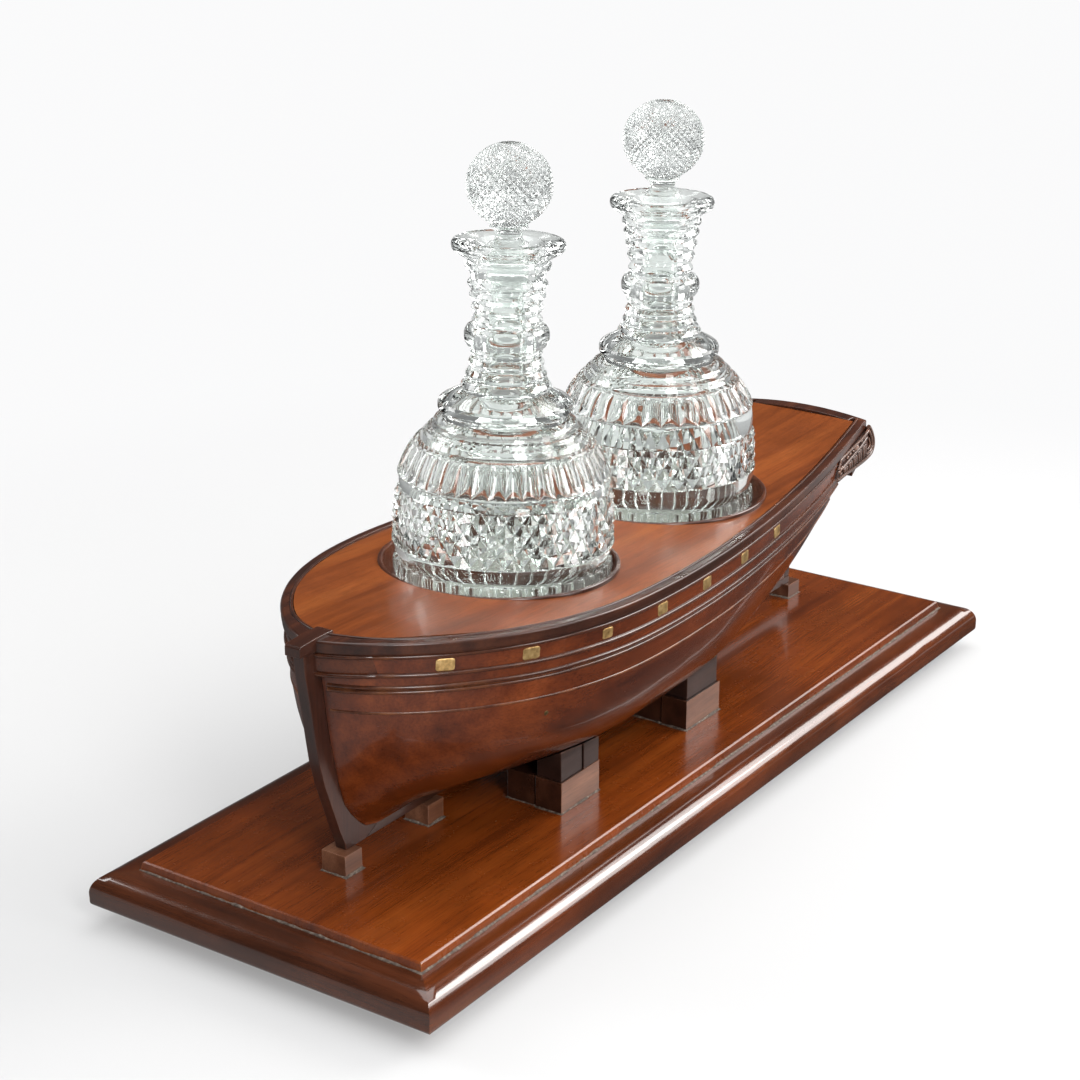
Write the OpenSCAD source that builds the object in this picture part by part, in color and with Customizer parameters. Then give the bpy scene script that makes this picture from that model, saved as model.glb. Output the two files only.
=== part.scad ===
// Ship's-hull decanter stand: a mahogany model hull on keel blocks and bilge
// chocks, standing on a moulded plinth, with two wells in its deck that hold
// a pair of cut-glass decanters with ball stoppers.
// Millimetres, +Z up, bow at -X, port side at -Y, origin on the floor under
// the middle of the plinth.

/* [Plinth] */
// Length of the plinth over its moulding
plinth_l = 625; // [560:1:690]
// Width of the plinth over its moulding
plinth_w = 228; // [228:1:250]
// Thickness of the moulded board
plinth_t = 18.5; // [16:0.5:24]
// Radius of the ovolo on the edge of the board
ovolo_r = 11.5; // [8:0.5:13]
// Height of the raised panel above the board
panel_t = 5; // [3:0.5:7]
// Distance from the edge of the board to the edge of the raised panel
panel_in = 21.2; // [18:0.2:26]
// Height of the bun feet
foot_h = 12; // [10:0.5:18]
// Greatest radius of the bun feet
foot_r = 21; // [16:0.5:24]

/* [Hull] */
// Half-breadth of the hull at the rail, at its widest
beam_half = 95; // [90:0.5:98]
// Height of the lowest point of the rail above the raised panel
sheer_min = 123.3; // [120:0.1:130]
// Height of the keel blocks above the raised panel
block_h = 12.4; // [10:0.2:16]
// Height of the keel under the hull
keel_h = 5.1; // [4:0.1:8]
// Half the thickness of keel, stem and stern post
post_half = 3.5; // [3:0.1:5]
// Thickness of the carved hull walls
wall = 9; // [7:0.5:11]
// Height that the middle of the deck stands above its edge
camber = 3.6; // [0:0.2:4]
// Width of the cap rail
rail_w = 6.8; // [5:0.1:8]

/* [Wells and decanters] */
// Outer radius of the beaded rim of a well
rim_r = 68; // [67:0.1:70]
// Radius of the well inside its rim
well_r = 65.3; // [64.5:0.1:66]
// Depth of a well below its rim
well_d = 36.6; // [30:0.1:40]
// Position of the fore well along the hull
fore_x = -93.2; // [-95:0.1:-88]
// Position of the aft well along the hull
aft_x = 72.6; // [70:0.1:78]
// Lean of the fore well and its decanter towards the stern, in degrees
fore_lean = 2.3; // [0:0.1:3]
// Lean of the aft well and its decanter towards the stern, in degrees
aft_lean = 0.5; // [0:0.1:2]
// Greatest radius of the fore decanter's body
fore_r = 62.2; // [58:0.1:63]
// Greatest radius of the aft decanter's body
aft_r = 60.3; // [56:0.1:63]
// How far the fore decanter stands to port of the middle of its well
fore_port = 1.6; // [0:0.1:2]
// How far the fore decanter stands aft of the middle of its well
fore_aft = 1.1; // [0:0.1:2]

/* [Brass] */
// Length of a brass plate along the wale
plate_l = 10.5; // [8:0.5:14]
// Height of a brass plate
plate_h = 7.2; // [5:0.1:7.5]
// Distance between the brass plates along the hull
plate_pitch = 51.4; // [45:0.1:53]

/* [Hidden] */
$fn = 64;
base_z = foot_h;                       // underside of the moulded board
P = foot_h + plinth_t + panel_t;       // top of the raised panel
half_l = plinth_l / 2;
half_w = plinth_w / 2;
foot_x = half_l - 43;
foot_y = half_w - 32;
mahogany = [0.36, 0.13, 0.06];
mahogany_deep = [0.24, 0.08, 0.05];
mahogany_deck = [0.52, 0.22, 0.10];
brass_c = [0.72, 0.58, 0.28];
glass_c = [0.85, 0.90, 0.88, 0.45];
baize_c = [0.12, 0.26, 0.15];
steel_c = [0.55, 0.55, 0.55];

// ---------- lines of the hull, heights above the raised panel ----------
x_bow = -260;      // outer edge of the rail at the bow
x_wide = -80;      // widest station
x_end = 264;       // outer edge of the rail at the stern
x_post = 247;      // upper end of the stern post's fore face
keel_z = block_h + keel_h;             // underside of the carved hull at the bow
keel_drop = 2.6;                       // the keel stands lower at the stern by this much
function keel_top(x) = keel_z - keel_drop * clamp((x + 166) / 412, 0, 1);
// fore face of the stern post, which rakes aft
function xa(z) = 237 + clamp(z - 15, 0, 200) * 0.11;

function clamp(v, a, b) = min(max(v, a), b);
// half-breadth to the outer edge of the rail
function yb(x) = x < x_wide
    ? beam_half * pow(max(1 - pow(clamp((x_wide - x) / (x_wide - x_bow), 0, 1), 2.2), 0), 0.715)
    : let (s = (x - x_wide) / 344) beam_half - (75 * s * s - 26 * s * s * s);
// height of the rail
function sheer(x) = sheer_min + (x < 140 ? 1.0e-4 : 3.3e-4) * (x - 140) * (x - 140);
// fore end of the planking, where it meets the stem: [height, x]
rabbet = [[12, -190], [17.5, -212], [20, -221.5], [24, -226.4], [31, -232.8], [39, -238.3],
    [52, -242.4], [65, -245.3], [81, -248.6], [97, -251], [116, -253.2], [145, -256]];
function xf(z) = lookup(z, rabbet);

// one point of the carved hull: s runs bow to stern, t from the top of the wall down to the keel
function end_round(s, t) = let (a = 0.981 - 0.043 * t, r = clamp((s - a) / (1 - a), 0, 1))
    pow(max(1 - pow(r, 2.5), 0), 0.67);
// station of the rail that the hull's side follows, just inside it
function plan_x(s) = -253.4 + s * (x_post + 1 + 253.4) - 1.5 * (1 - s) - 3.6 * exp(-s / 0.02);
function hull_pt(s, t) =
    let (xt = -256 + s * (x_post + 256),
         zt = sheer(xt) - 7,
         z = zt - (zt - keel_top(xt)) * t,
         f = xf(z),
         x = f + s * (xa(z) - f),
         y0 = yb(plan_x(s)) - 2 - post_half,
         b = pow(clamp(1 - s / 0.35, 0, 1), 1.5),
         a = pow(clamp((s - 0.535) / 0.465, 0, 1), 1.38),
         p = 3.8 + 0.5 * b - 2.2 * a,
         q = 0.66 + 0.8 * b + 1.06 * a)
    [x, post_half + max(y0, 0) * pow(max(1 - pow(t, p), 0), q) * end_round(s, t), z];

// stations: close together at the bow and at the stern
n_st = 46;
function stn(i) = i <= 12 ? 0.16 * pow(i / 12, 1.6)
    : i <= 36 ? 0.16 + (i - 12) / 24 * 0.70
    : 0.86 + 0.14 * (1 - pow(1 - (i - 36) / 10, 1.5));
n_t = 15;
function tt(j) = let (u = j / n_t) 0.25 * u + 0.75 * sin(90 * u);
n_in = 8;

// cross-section of one half of the carved hull at station i (y positive)
function in_pt(s, t) =
    let (o = hull_pt(s, t), k = clamp(min(s / 0.05, (1 - s) / 0.045), 0, 1),
         y = max(0, (o[1] - wall * (1 - t * t * 0.75) - 2) * k),
         z = min(o[2] + 10 * t * t + (1 - k) * 0, sheer(o[0]) - 7))
    [o[0], y, z];
function ring(i) = let (s = stn(i))
    concat([for (j = [0:n_t]) hull_pt(s, tt(j))],
        [let (o = hull_pt(s, 1)) [o[0], 0, o[2]]],
        [let (o = in_pt(s, 1)) [o[0], 0, max(o[2], keel_top(o[0]) + 8)]],
        [for (j = [n_in:-1:0]) in_pt(s, tt(j * n_t / n_in))]);
n_ring = n_t + 1 + 2 + n_in + 1;

// skin between equal rings, closed by fans at both ends
function skin_faces(n, m, flip) = concat(
    [for (i = [0:n - 2], j = [0:m - 1]) let (a = i * m + j, b = i * m + (j + 1) % m, c = a + m, d = b + m)
        flip ? [a, b, c] : [a, c, b]],
    [for (i = [0:n - 2], j = [0:m - 1]) let (a = i * m + j, b = i * m + (j + 1) % m, c = a + m, d = b + m)
        flip ? [b, d, c] : [b, c, d]],
    [for (j = [1:m - 2]) flip ? [0, j + 1, j] : [0, j, j + 1]],
    [for (j = [1:m - 2]) let (o = (n - 1) * m) flip ? [o, o + j, o + j + 1] : [o, o + j + 1, o + j]]);

// a closed strip swept along a path of rings
module sweep(rings, flip = false) {
    m = len(rings[0]);
    polyhedron(points = [for (r = rings) for (p = r) p],
        faces = skin_faces(len(rings), m, flip), convexity = 6);
}

module side(port) { if (port) mirror([0, 1, 0]) children(); else children(); }

module hull_half(port) color(mahogany) translate([0, 0, P]) side(port) sweep_half();
module sweep_half() {
    rings = [for (i = [0:n_st]) ring(i)];
    polyhedron(points = [for (r = rings) for (p = r) p],
        faces = concat(
            [for (i = [0:n_st - 1], j = [0:n_ring - 1]) let (a = i * n_ring + j, b = i * n_ring + (j + 1) % n_ring) [a, b, a + n_ring]],
            [for (i = [0:n_st - 1], j = [0:n_ring - 1]) let (b = i * n_ring + (j + 1) % n_ring, a = i * n_ring + j) [b, b + n_ring, a + n_ring]],
            cap(0, false), cap(n_st, true)), convexity = 8);
}
// end caps joining the outer curve to the inner one, strip by strip
function cap(i, back) = let (o = i * n_ring)
    [for (f = concat(
        [for (j = [0:n_t - 1]) [j, j + 1, in_idx(j + 1)]],
        [for (j = [0:n_t - 1]) if (in_idx(j) != in_idx(j + 1)) [j, in_idx(j + 1), in_idx(j)]],
        [[n_t, n_t + 1, n_t + 2], [n_t, n_t + 2, n_t + 3]]))
        back ? [o + f[0], o + f[1], o + f[2]] : [o + f[2], o + f[1], o + f[0]]];
function in_idx(j) = n_ring - 1 - round(j * n_in / n_t);

// ---------- plinth ----------
module edge_profile(half) intersection() {
    // half-section of the board across one pair of edges
    translate([-half, 0]) square([2 * half, plinth_t]);
    union() {
        translate([-half + ovolo_r, 0]) square([2 * (half - ovolo_r), plinth_t]);
        translate([-half, 2.2]) square([2 * half, plinth_t - ovolo_r - 2.2]);
        translate([-half + 2.2, 0]) square([2 * half - 4.4, 3]);
        for (s = [-1, 1]) {
            intersection() {
                translate([s * (half - ovolo_r), plinth_t - ovolo_r]) circle(r = ovolo_r, $fn = 96);
                translate([-half, plinth_t - ovolo_r]) square([2 * half, ovolo_r]);
            }
            translate([s * (half - 2.2), 2.2]) circle(r = 2.2, $fn = 32);
        }
    }
}
module plinth_board() color(mahogany) difference() {
    intersection() {
        translate([-half_l - 1, 0, base_z]) rotate([90, 0, 90])
            linear_extrude(height = plinth_l + 2) edge_profile(half_w);
        translate([0, half_w + 1, base_z]) rotate([90, 0, 0])
            linear_extrude(height = plinth_w + 2) edge_profile(half_l);
    }
    for (x = [-foot_x, foot_x], y = [-foot_y, foot_y])
        translate([x, y, base_z - 1]) cylinder(r = 6.05, h = 11.1);
    screw_holes();
}
module plinth_panel() color(mahogany) {
    l = plinth_l - 2 * panel_in; w = plinth_w - 2 * panel_in;
    difference() {
        intersection() {
            translate([-l / 2 - 3, 0, P - panel_t]) rotate([90, 0, 90]) linear_extrude(height = l + 6)
                polygon([[-w / 2 - 1.6, 0], [w / 2 + 1.6, 0], [w / 2 + 0.5, panel_t - 0.7], [w / 2 - 0.5, panel_t],
                    [-w / 2 + 0.5, panel_t], [-w / 2 - 0.5, panel_t - 0.7]]);
            translate([0, w / 2 + 3, P - panel_t]) rotate([90, 0, 0]) linear_extrude(height = w + 6)
                polygon([[-l / 2 - 1.6, 0], [l / 2 + 1.6, 0], [l / 2 + 0.5, panel_t - 0.7], [l / 2 - 0.5, panel_t],
                    [-l / 2 + 0.5, panel_t], [-l / 2 - 0.5, panel_t - 0.7]]);
        }
        screw_holes();
    }
}
// turned bun foot with a dowel that is glued into the board
module foot(x, y) color(mahogany_deep) translate([x, y, 0]) {
    rotate_extrude($fn = 64) intersection() {
        translate([0, 0]) square([foot_r + 1, foot_h]);
        union() {
            square([foot_r - 6, foot_h]);
            translate([foot_r - foot_h * 0.62, foot_h * 0.5]) circle(r = foot_h * 0.62, $fn = 48);
        }
    }
    translate([0, 0, foot_h]) cylinder(r = 6, h = 10);
}

// ---------- blocks, chocks and their screws ----------
block_xs = [-234.4, -166, 241.6];   // screws through the keel blocks
function block_top(x) = block_h - keel_drop * clamp((x + 166) / 412, 0, 1);
module keel_block(x, w, l, sx) color(mahogany) difference() {
    translate([x - l / 2, -w / 2, P]) cube([l, w, block_top(x) - 0.05]);
    translate([sx, 0, P - 1]) cylinder(r = 1.9, h = block_h + 2);
}
chock_l = 38.5;
bow_chock_x = -120;
stern_chock_x = 14;
chock_y = 60.5;        // outer face of the chocks
chock_w = 17.6;        // width of an outer base block
inner_w = 19;          // width of an inner base block
base_h = 19;           // height of a base block
// height of the hull's bottom over a point, from the section rule
function hull_z(x, y) =
    let (s = (x + 240) / (240 + 240), xt = -256 + s * (x_post + 256), zt = sheer(xt) - 7,
         y0 = yb(plan_x(s)) - 2 - post_half,
         b = pow(clamp(1 - s / 0.35, 0, 1), 1.5), a = pow(clamp((s - 0.535) / 0.465, 0, 1), 1.38),
         p = 3.8 + 0.5 * b - 2.2 * a, q = 0.66 + 0.8 * b + 1.06 * a,
         t = pow(max(1 - pow(clamp((y - post_half) / y0, 0, 1), 1 / q), 0), 1 / p))
    zt - (zt - keel_top(xt)) * t;
module box8(x0, x1, y0, y1, z0, f) {
    // a block whose top follows the hull
    c = [[x0, y0], [x1, y0], [x1, y1], [x0, y1]];
    polyhedron(points = concat([for (k = c) [k[0], k[1], z0]],
            [for (k = c) [k[0], k[1], hull_z(k[0], k[1]) - f]]),
        faces = [[0, 1, 2], [0, 2, 3], [4, 6, 5], [4, 7, 6], [0, 5, 1], [0, 4, 5], [1, 6, 2], [1, 5, 6],
            [2, 7, 3], [2, 6, 7], [3, 4, 0], [3, 7, 4]]);
}
module chock_base(x, port) color(mahogany) translate([0, 0, P]) side(port) difference() {
    translate([x, chock_y - chock_w, 0]) cube([chock_l, chock_w, base_h]);
    translate([x + chock_l / 2, chock_y - chock_w / 2, -1]) cylinder(r = 1.6, h = 14);
}
module chock_inner(x, port) color(mahogany_deep) translate([0, 0, P]) side(port)
    translate([x + 1, chock_y - chock_w - 1 - inner_w, 0]) cube([chock_l - 2, inner_w, base_h - 0.6]);
module bow_caps(port) color(mahogany_deep) translate([0, 0, P]) side(port) {
    box8(bow_chock_x + 1, bow_chock_x + 22.2, chock_y - chock_w + 0.5, chock_y - 1, base_h, 1.0);
    box8(bow_chock_x + 22.6, bow_chock_x + chock_l - 0.5, chock_y - chock_w + 0.5, chock_y - 0.2, base_h, 1.0);
}
module stern_cap(port) color(mahogany_deep) translate([0, 0, P]) side(port)
    box8(stern_chock_x + 2.5, stern_chock_x + chock_l - 1, chock_y - chock_w + 0.5, chock_y - 1.5, base_h, 1.7);

// countersunk screw, head down at the underside of the board
module screw(r, head_r, l) {
    cylinder(r1 = head_r, r2 = r, h = head_r - r);
    cylinder(r = r, h = l);
}
module screw_holes() {
    for (x = block_xs) translate([x, 0, base_z]) {
        translate([0, 0, -1]) cylinder(r = 1.9, h = 40);
        translate([0, 0, -0.01]) cylinder(r1 = 4.1, r2 = 1.9, h = 2.3);
    }
    for (x = [bow_chock_x, stern_chock_x], m = [-1, 1])
        translate([x + chock_l / 2, m * (chock_y - chock_w / 2), base_z]) {
            translate([0, 0, -1]) cylinder(r = 1.6, h = 40);
            translate([0, 0, -0.01]) cylinder(r1 = 3.6, r2 = 1.6, h = 2.1);
        }
}
module keel_screws() color(brass_c) for (x = block_xs)
    translate([x, 0, base_z + 0.1]) screw(1.75, 3.8, plinth_t + panel_t + block_top(x) + 3);
module chock_screws() color(brass_c) for (x = [bow_chock_x, stern_chock_x], m = [-1, 1])
    translate([x + chock_l / 2, m * (chock_y - chock_w / 2), base_z + 0.1]) screw(1.5, 3.3, plinth_t + panel_t + 12);

// ---------- keel, stem and stern ----------
module xz(h, pts) rotate([90, 0, 0]) translate([0, 0, -h / 2]) linear_extrude(height = h) polygon(pts);
module keel() color(mahogany_deep) difference() {
    translate([0, 0, P]) xz(2 * post_half,
        [[-222, block_h], [-166, block_h], [244.4, block_h - keel_drop], [244.4, keel_z - keel_drop],
         [-166, keel_z], [-212, keel_z]]);
    for (x = [block_xs[1], block_xs[2]]) translate([x, 0, P + block_top(x) - 1]) cylinder(r = 1.9, h = 4.4);
}
// stem and forefoot knee in one curved piece; [x, z]
stem_out = [[-267, 133], [-266, 122], [-264, 110], [-262, 98], [-260, 84], [-257.6, 70], [-253.6, 55],
    [-248.6, 41], [-243, 25], [-239.5, 17], [-238.5, 12.4]];
module stem_post() color(mahogany_deep) translate([0, 0, P]) difference() {
    xz(2 * post_half, concat(stem_out,
        [[-222.4, block_h], [-212.3, keel_z]],
        [for (k = [2:len(rabbet) - 2]) [rabbet[k][1] - 0.3, rabbet[k][0]]],
        [[-254.2, 126], [-254.2, 133]]));
    translate([block_xs[0], 0, block_h - 1]) cylinder(r = 1.9, h = 5.2);
}
module stern_post() color(mahogany_deep) translate([0, 0, P]) xz(2 * post_half,
    [[xa(15) + 0.15, keel_z - keel_drop], [244.2, keel_z - keel_drop], [253.6, 97.4], [xa(93.5) + 0.15, 93.6]]);
// squared timber that runs out over the stem
module stem_head() color(mahogany_deep) translate([0, 0, P])
    xz(10, [[-271.4, 133.6], [-271.4, 138.6], [-270.4, 139.8], [-258, 140.7], [-246.5, 140.7], [-244.5, 140.2], [-244.5, 139.4],
        [-254, 133.2]]);

// ---------- stern ----------
counter_pts = [[x_post + 0.3, 93.8], [256, 97.2], [266, 100.6], [273, 102.4], [276.8, 105.5], [277.6, 110],
    [276, 115.4], [272, 120.4], [268.2, 122.2], [267.8, 121.7], [264, 121.2], [257, 120.5], [x_post + 2.1, 119.9]];
module side_plan(x0, x1, in) linear_extrude(height = 60) polygon(concat(
    [for (k = [0:8]) let (x = x0 + (x1 - x0) * k / 8) [x, yb(x) - in]],
    [for (k = [8:-1:0]) let (x = x0 + (x1 - x0) * k / 8) [x, -yb(x) + in]]));
// plan of the stern between the galleries
module gal_plan(x0, x1, in) linear_extrude(height = 60) let (y0 = 57.2 - (x0 - 204) * 0.156 - in, y1 = 57.2 - (x1 - 204) * 0.156 - in)
    polygon([[x0, y0], [x1, y1], [x1, -y1], [x0, -y0]]);
module counter_block() color(mahogany_deep) translate([0, 0, P]) difference() {
    intersection() {
        xz(120, counter_pts);
        translate([0, 0, 80]) gal_plan(x_post, 280, 4.2);
    }
    translate([0, 0, 90]) translate([x_post, -post_half - 0.2, 0]) cube([8.2, 2 * post_half + 0.4, 7.2]);
}
board_pts = [[266, 100.6], [273, 102.4], [276.8, 105.5], [277.6, 110], [276, 115.4], [272, 120.4], [268, 122.4],
    [269.6, 123.9], [273.6, 121.9], [278, 116.4], [279.9, 110.4], [279.2, 104.6], [274.4, 100.4], [266.6, 98.3]];
module stern_board() color(mahogany_deep) translate([0, 0, P]) intersection() {
    xz(120, board_pts);
    translate([0, 0, 80]) gal_plan(260, 284, 4.2);
}
// carved quarter gallery: backing, border, middle rail, pilasters and a small fan,
// drawn in its own plane with x from its fore end and z above the raised panel
gal_a = 8.867;         // the galleries close in towards the stern
gal_out = [[-1.6, 105.9], [0.2, 104.8], [3, 104.5], [14, 104.6], [28, 103.6], [48, 102.5], [62, 102.2], [70.6, 103.2],
    [74.6, 106.4], [75.4, 109.6], [74.2, 113.4], [71.6, 117.2], [68.8, 120.4], [66.8, 122.7], [65.7, 123.3],
    [65.5, 121.4], [62, 121.1], [54, 120.4], [36, 119.4], [7.4, 117.8], [4.4, 116], [1, 112]];
function gal_in(k) = [for (i = [0:len(gal_out) - 1]) let (p = gal_out[i], c = [38, 112])
    [c[0] + (p[0] - c[0]) * (1 - k / 38), c[1] + (p[1] - c[1]) * (1 - k / 9)]];
module gallery(port) color(mahogany_deep) translate([0, 0, P]) side(port)
    translate([204, 57.2, 0]) rotate([0, 0, -gal_a]) rotate([90, 0, 0]) {
        // backing plate, let into the hull's side
        translate([0, 0, -0.3]) linear_extrude(height = 4.4) polygon(gal_out);
        // raised border
        translate([0, 0, -1.3]) linear_extrude(height = 1.6) difference() {
            polygon(gal_out);
            polygon(gal_in(1.5));
        }
        // middle rail between the lower pilasters and the upper fan
        translate([0, 0, -1.2]) linear_extrude(height = 1.4)
            polygon([[7.4, 115.6], [24, 115.4], [45, 114.8], [66, 114.0], [67, 115.4], [45, 116.4], [24, 117.0], [8, 117.2]]);
        // pilasters
        for (k = [0:6]) translate([8 + k * 9, 106.0 - k * 0.45, -0.3]) rotate([-90, 0, 0])
            cylinder(r = 1.5, h = 9.6 - k * 0.16, $fn = 24);
    }

// ---------- deck, beams and wells ----------
// half width of the deck: everywhere inside the rail's inner face
function deck_half(x) = min([for (q = [-11.5:0.5:11.5])
    let (xp = x + q, w = rail_w + 0.5 + rail_extra(xp)) if (xp > x_bow && abs(q) < w) yb(xp) - sqrt(w * w - q * q)]);
function deck_z(x, y) = sheer(x) - 1.3 + camber * (1 - pow(clamp(abs(y) / 95, 0, 1), 2)) * clamp(yb(x) / 60, 0, 1);
deck_x0 = -246.5;
deck_x1 = 256.6;
n_dk = 40;
function dkx(i) = i <= 14 ? deck_x0 + 66 * pow(i / 14, 1.8) : -180.5 + (deck_x1 + 180.5) * (i - 14) / (n_dk - 14);
module deck() color(mahogany_deck) translate([0, 0, P]) difference() {
    sweep([for (i = [0:n_dk]) let (x = dkx(i), h = max(deck_half(x), 3)) concat(
        [for (k = [-4:4]) let (y = h * k / 4) [x, y, deck_z(x, y)]],
        [[x, h, sheer(x) - 6.9], [x, -h, sheer(x) - 6.9]])], flip = true);
    well_place(fore_x, fore_lean) cylinder(r = rim_r + 0.08, h = 60, center = true, $fn = 96);
    well_place(aft_x, aft_lean) cylinder(r = rim_r + 0.08, h = 60, center = true, $fn = 96);
}
// frame of a well: origin in the middle of its rim, on the deck
module well_place(x, lean) translate([x, 0, deck_z(x, 0) + 0.3]) rotate([0, lean, 0]) children();
module well_cup(x, lean) color(mahogany) translate([0, 0, P]) well_place(x, lean) rotate_extrude($fn = 96) {
    difference() {
        translate([0, -well_d - 5]) square([rim_r, well_d + 5 - 0.9]);
        translate([-1, -well_d]) square([well_r + 1, well_d + 10]);
    }
    translate([(rim_r + well_r) / 2, -0.95]) circle(r = (rim_r - well_r) / 2, $fn = 24);
}
module baize(x, lean) color(baize_c) translate([0, 0, P]) well_place(x, lean)
    translate([0, 0, -well_d]) cylinder(r = well_r - 1, h = 1.5, $fn = 96);
// a board across the hull, shaped to its inside; x0..x1 along the hull, z0..z1 high
module cross_board(x0, x1, z0, z1, gap) {
    xm = (x0 + x1) / 2;
    s = (xm + 246) / (x_post + 246);
    smin = (x0 + 246) / (x_post + 246);
    smax = (x1 + 246) / (x_post + 246);
    t0 = 0.02; t1 = 0.97;
    prof = [for (j = [0:12]) let (t = t0 + (t1 - t0) * j / 12, a = in_pt(smin, t), b = in_pt(smax, t)) [min(a[1], b[1]) - gap, max(a[2], b[2]) + 0.3]];
    translate([x1, 0, 0]) rotate([90, 0, -90]) linear_extrude(height = x1 - x0) intersection() {
        polygon(concat(prof, [for (k = [12:-1:0]) [-prof[k][0], prof[k][1]]]));
        translate([-100, z0]) square([200, z1 - z0]);
    }
}
module deck_beam(x, n = 0) color(mahogany_deep) translate([0, 0, P])
    cross_board(x - 5, x + 5, 60, sheer(x + 5) - 7.6, 1.2);
module well_bearer(x, lean) color(mahogany_deep) translate([0, 0, P]) {
    for (m = [-1, 1]) difference() {
        cross_board(x + m * 34 - 8, x + m * 34 + 8, 62, 100, 1.4);
        well_place(x, lean) translate([0, 0, -well_d - 5.1]) cylinder(r = 110, h = 60, $fn = 96);
    }
}

// ---------- rails and mouldings ----------
// plan points of the rail's outer edge, from the bow to the stern
n_rb = 16;
n_ra = 24;
function rail_x(i) = i <= n_rb ? x_wide - (x_wide - x_bow) * cos(90 * pow(i / n_rb, 1.0))
    : x_wide + (x_end - x_wide) * (i - n_rb) / n_ra;
function rail_dir(x) = x < x_bow + 0.02 ? [0, 1] :
    let (e = min(0.4, (x - x_bow) * 0.5), d = [2 * e, yb(x + e) - yb(x - e)], n = norm(d)) [d[0] / n, d[1] / n];
function rail_extra(x) = 4.2 * exp(-pow((x - x_bow) / 13, 2));
function rail_ring(x, prof) = let (d = rail_dir(x), n = [d[1], -d[0]], e = rail_extra(x))
    [for (p = prof) let (k = p[0] + (p[0] > 3 ? e : 0)) [x + n[0] * k, max(0, yb(x) + n[1] * k), sheer(x) + p[1]]];
rail_prof = [[0.9, -6.9], [0.25, -5.2], [0.2, -2.4], [0, -0.9], [0.55, -0.15], [1.4, 0], [rail_w - 1.2, 0.55],
    [rail_w - 0.2, 0.15], [rail_w + 0.2, -1.0], [rail_w + 0.2, -6.9]];
module cap_rail(port) color(mahogany_deep) translate([0, 0, P]) side(port) difference() {
    sweep([for (i = [0:n_rb + n_ra]) rail_ring(rail_x(i), rail_prof)], flip = true);
    // housing for the timber over the stem
    translate([-275, -5.15, 132]) cube([31.2, 10.3, 12]);
}
module taffrail() color(mahogany_deep) translate([0, 0, P]) difference() {
    intersection() {
        translate([257.2, 0, 0]) rotate([90, 0, 90]) linear_extrude(height = 10.4) intersection() {
            translate([0, 131.2 - 300]) circle(r = 300, $fn = 360);
            translate([-60, 121.9]) square([120, 20]);
        }
        translate([0, 0, 100]) side_plan(250, 272, 0.2);
    }
    for (m = [-1, 1]) translate([250, m > 0 ? yb(262) - rail_w - 3.2 : -60, 100]) cube([13.9, 60 - yb(262) + rail_w + 3.2, 60]);
}
// path on the hull's side, d below the rail
function side_pt(s, d) = let (xt = -256 + s * (x_post + 256), zt = sheer(xt) - 7) hull_pt(s, (d - 7) / (zt - keel_top(xt)));
function side_ring(s, d, prof) =
    let (a = side_pt(max(s - 0.004, 0), d), b = side_pt(min(s + 0.004, 1), d), o = side_pt(s, d),
         v = [b[0] - a[0], b[1] - a[1]], n = norm(v), u = [-v[1] / n, v[0] / n])
    [for (p = prof) [o[0] + u[0] * p[0], o[1] + u[1] * p[0], o[2] + p[1]]];
n_bd = 34;
function bds(i, s1) = i <= 12 ? 0.15 * pow(i / 12, 1.6) + 0.0015 : 0.1515 + (s1 - 0.1515) * (i - 12) / (n_bd - 12);
module side_strip(port, d, prof, s1) color(mahogany_deep) translate([0, 0, P]) side(port)
    sweep([for (i = [0:n_bd]) side_ring(bds(i, s1), d, prof)], flip = false);
half_round = [[-0.5, 1.2], [0.9, 0.95], [1.6, 0], [0.9, -0.95], [-0.5, -1.2]];
// two beads with a groove between them
double_round = [[-0.5, 3.0], [0.7, 2.6], [1.3, 1.7], [0.7, 0.9], [0.25, 0.45], [0.6, -0.1], [1.1, -0.9], [0.6, -1.7], [-0.5, -2.0]];
thin_strake = [[-0.5, 0.9], [0.45, 0.7], [0.6, 0.1], [0.45, -0.6], [-0.5, -0.8]];

// ---------- brass ----------
plate_x0 = -214.5;
function s_at(x, z) = (x - xf(z)) / (xa(z) - xf(z));
module plates_side(port) side(port) for (k = [0:6]) {
    x = k == 0 ? plate_x0 : plate_x0 + 42.6 + (k - 1) * plate_pitch;
    s = s_at(x, sheer(x) - 14);
    o = side_pt(s, 13.7);
    a = side_pt(s - 0.01, 13.7);
    b = side_pt(s + 0.01, 13.7);
    rz = atan2(b[1] - a[1], b[0] - a[0]);
    ry = -atan2(b[2] - a[2], b[0] - a[0]);
    translate(o) rotate([0, ry, rz]) translate([-plate_l / 2, -0.7, -plate_h / 2]) cube([plate_l, 1.0, plate_h]);
}
module brass_plates() color(brass_c) translate([0, 0, P]) { plates_side(true); plates_side(false); }
// headed pins that hold the planking to the beams
module brass_pins() color(brass_c) translate([0, 0, P]) for (m = [true, false]) side(m)
    for (k = [[-160.2, 81.5], [26.4, 46.5]]) {
        s = s_at(k[0], k[1]);
        d = sheer(-256 + s * (x_post + 256)) - k[1];
        o = side_pt(s, d);
        a = side_pt(s - 0.01, d);
        b = side_pt(s + 0.01, d);
        u = side_pt(s, d - 2);
        v = side_pt(s, d + 2);
        n = cross(b - a, u - v) / norm(cross(b - a, u - v));
        m = n[1] < 0 ? -n : n;
        translate(o - 4 * m) rotate([0, acos(m[2]), atan2(m[1], m[0])]) cylinder(r = 1.5, h = 4.25, $fn = 24);
    }

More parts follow.
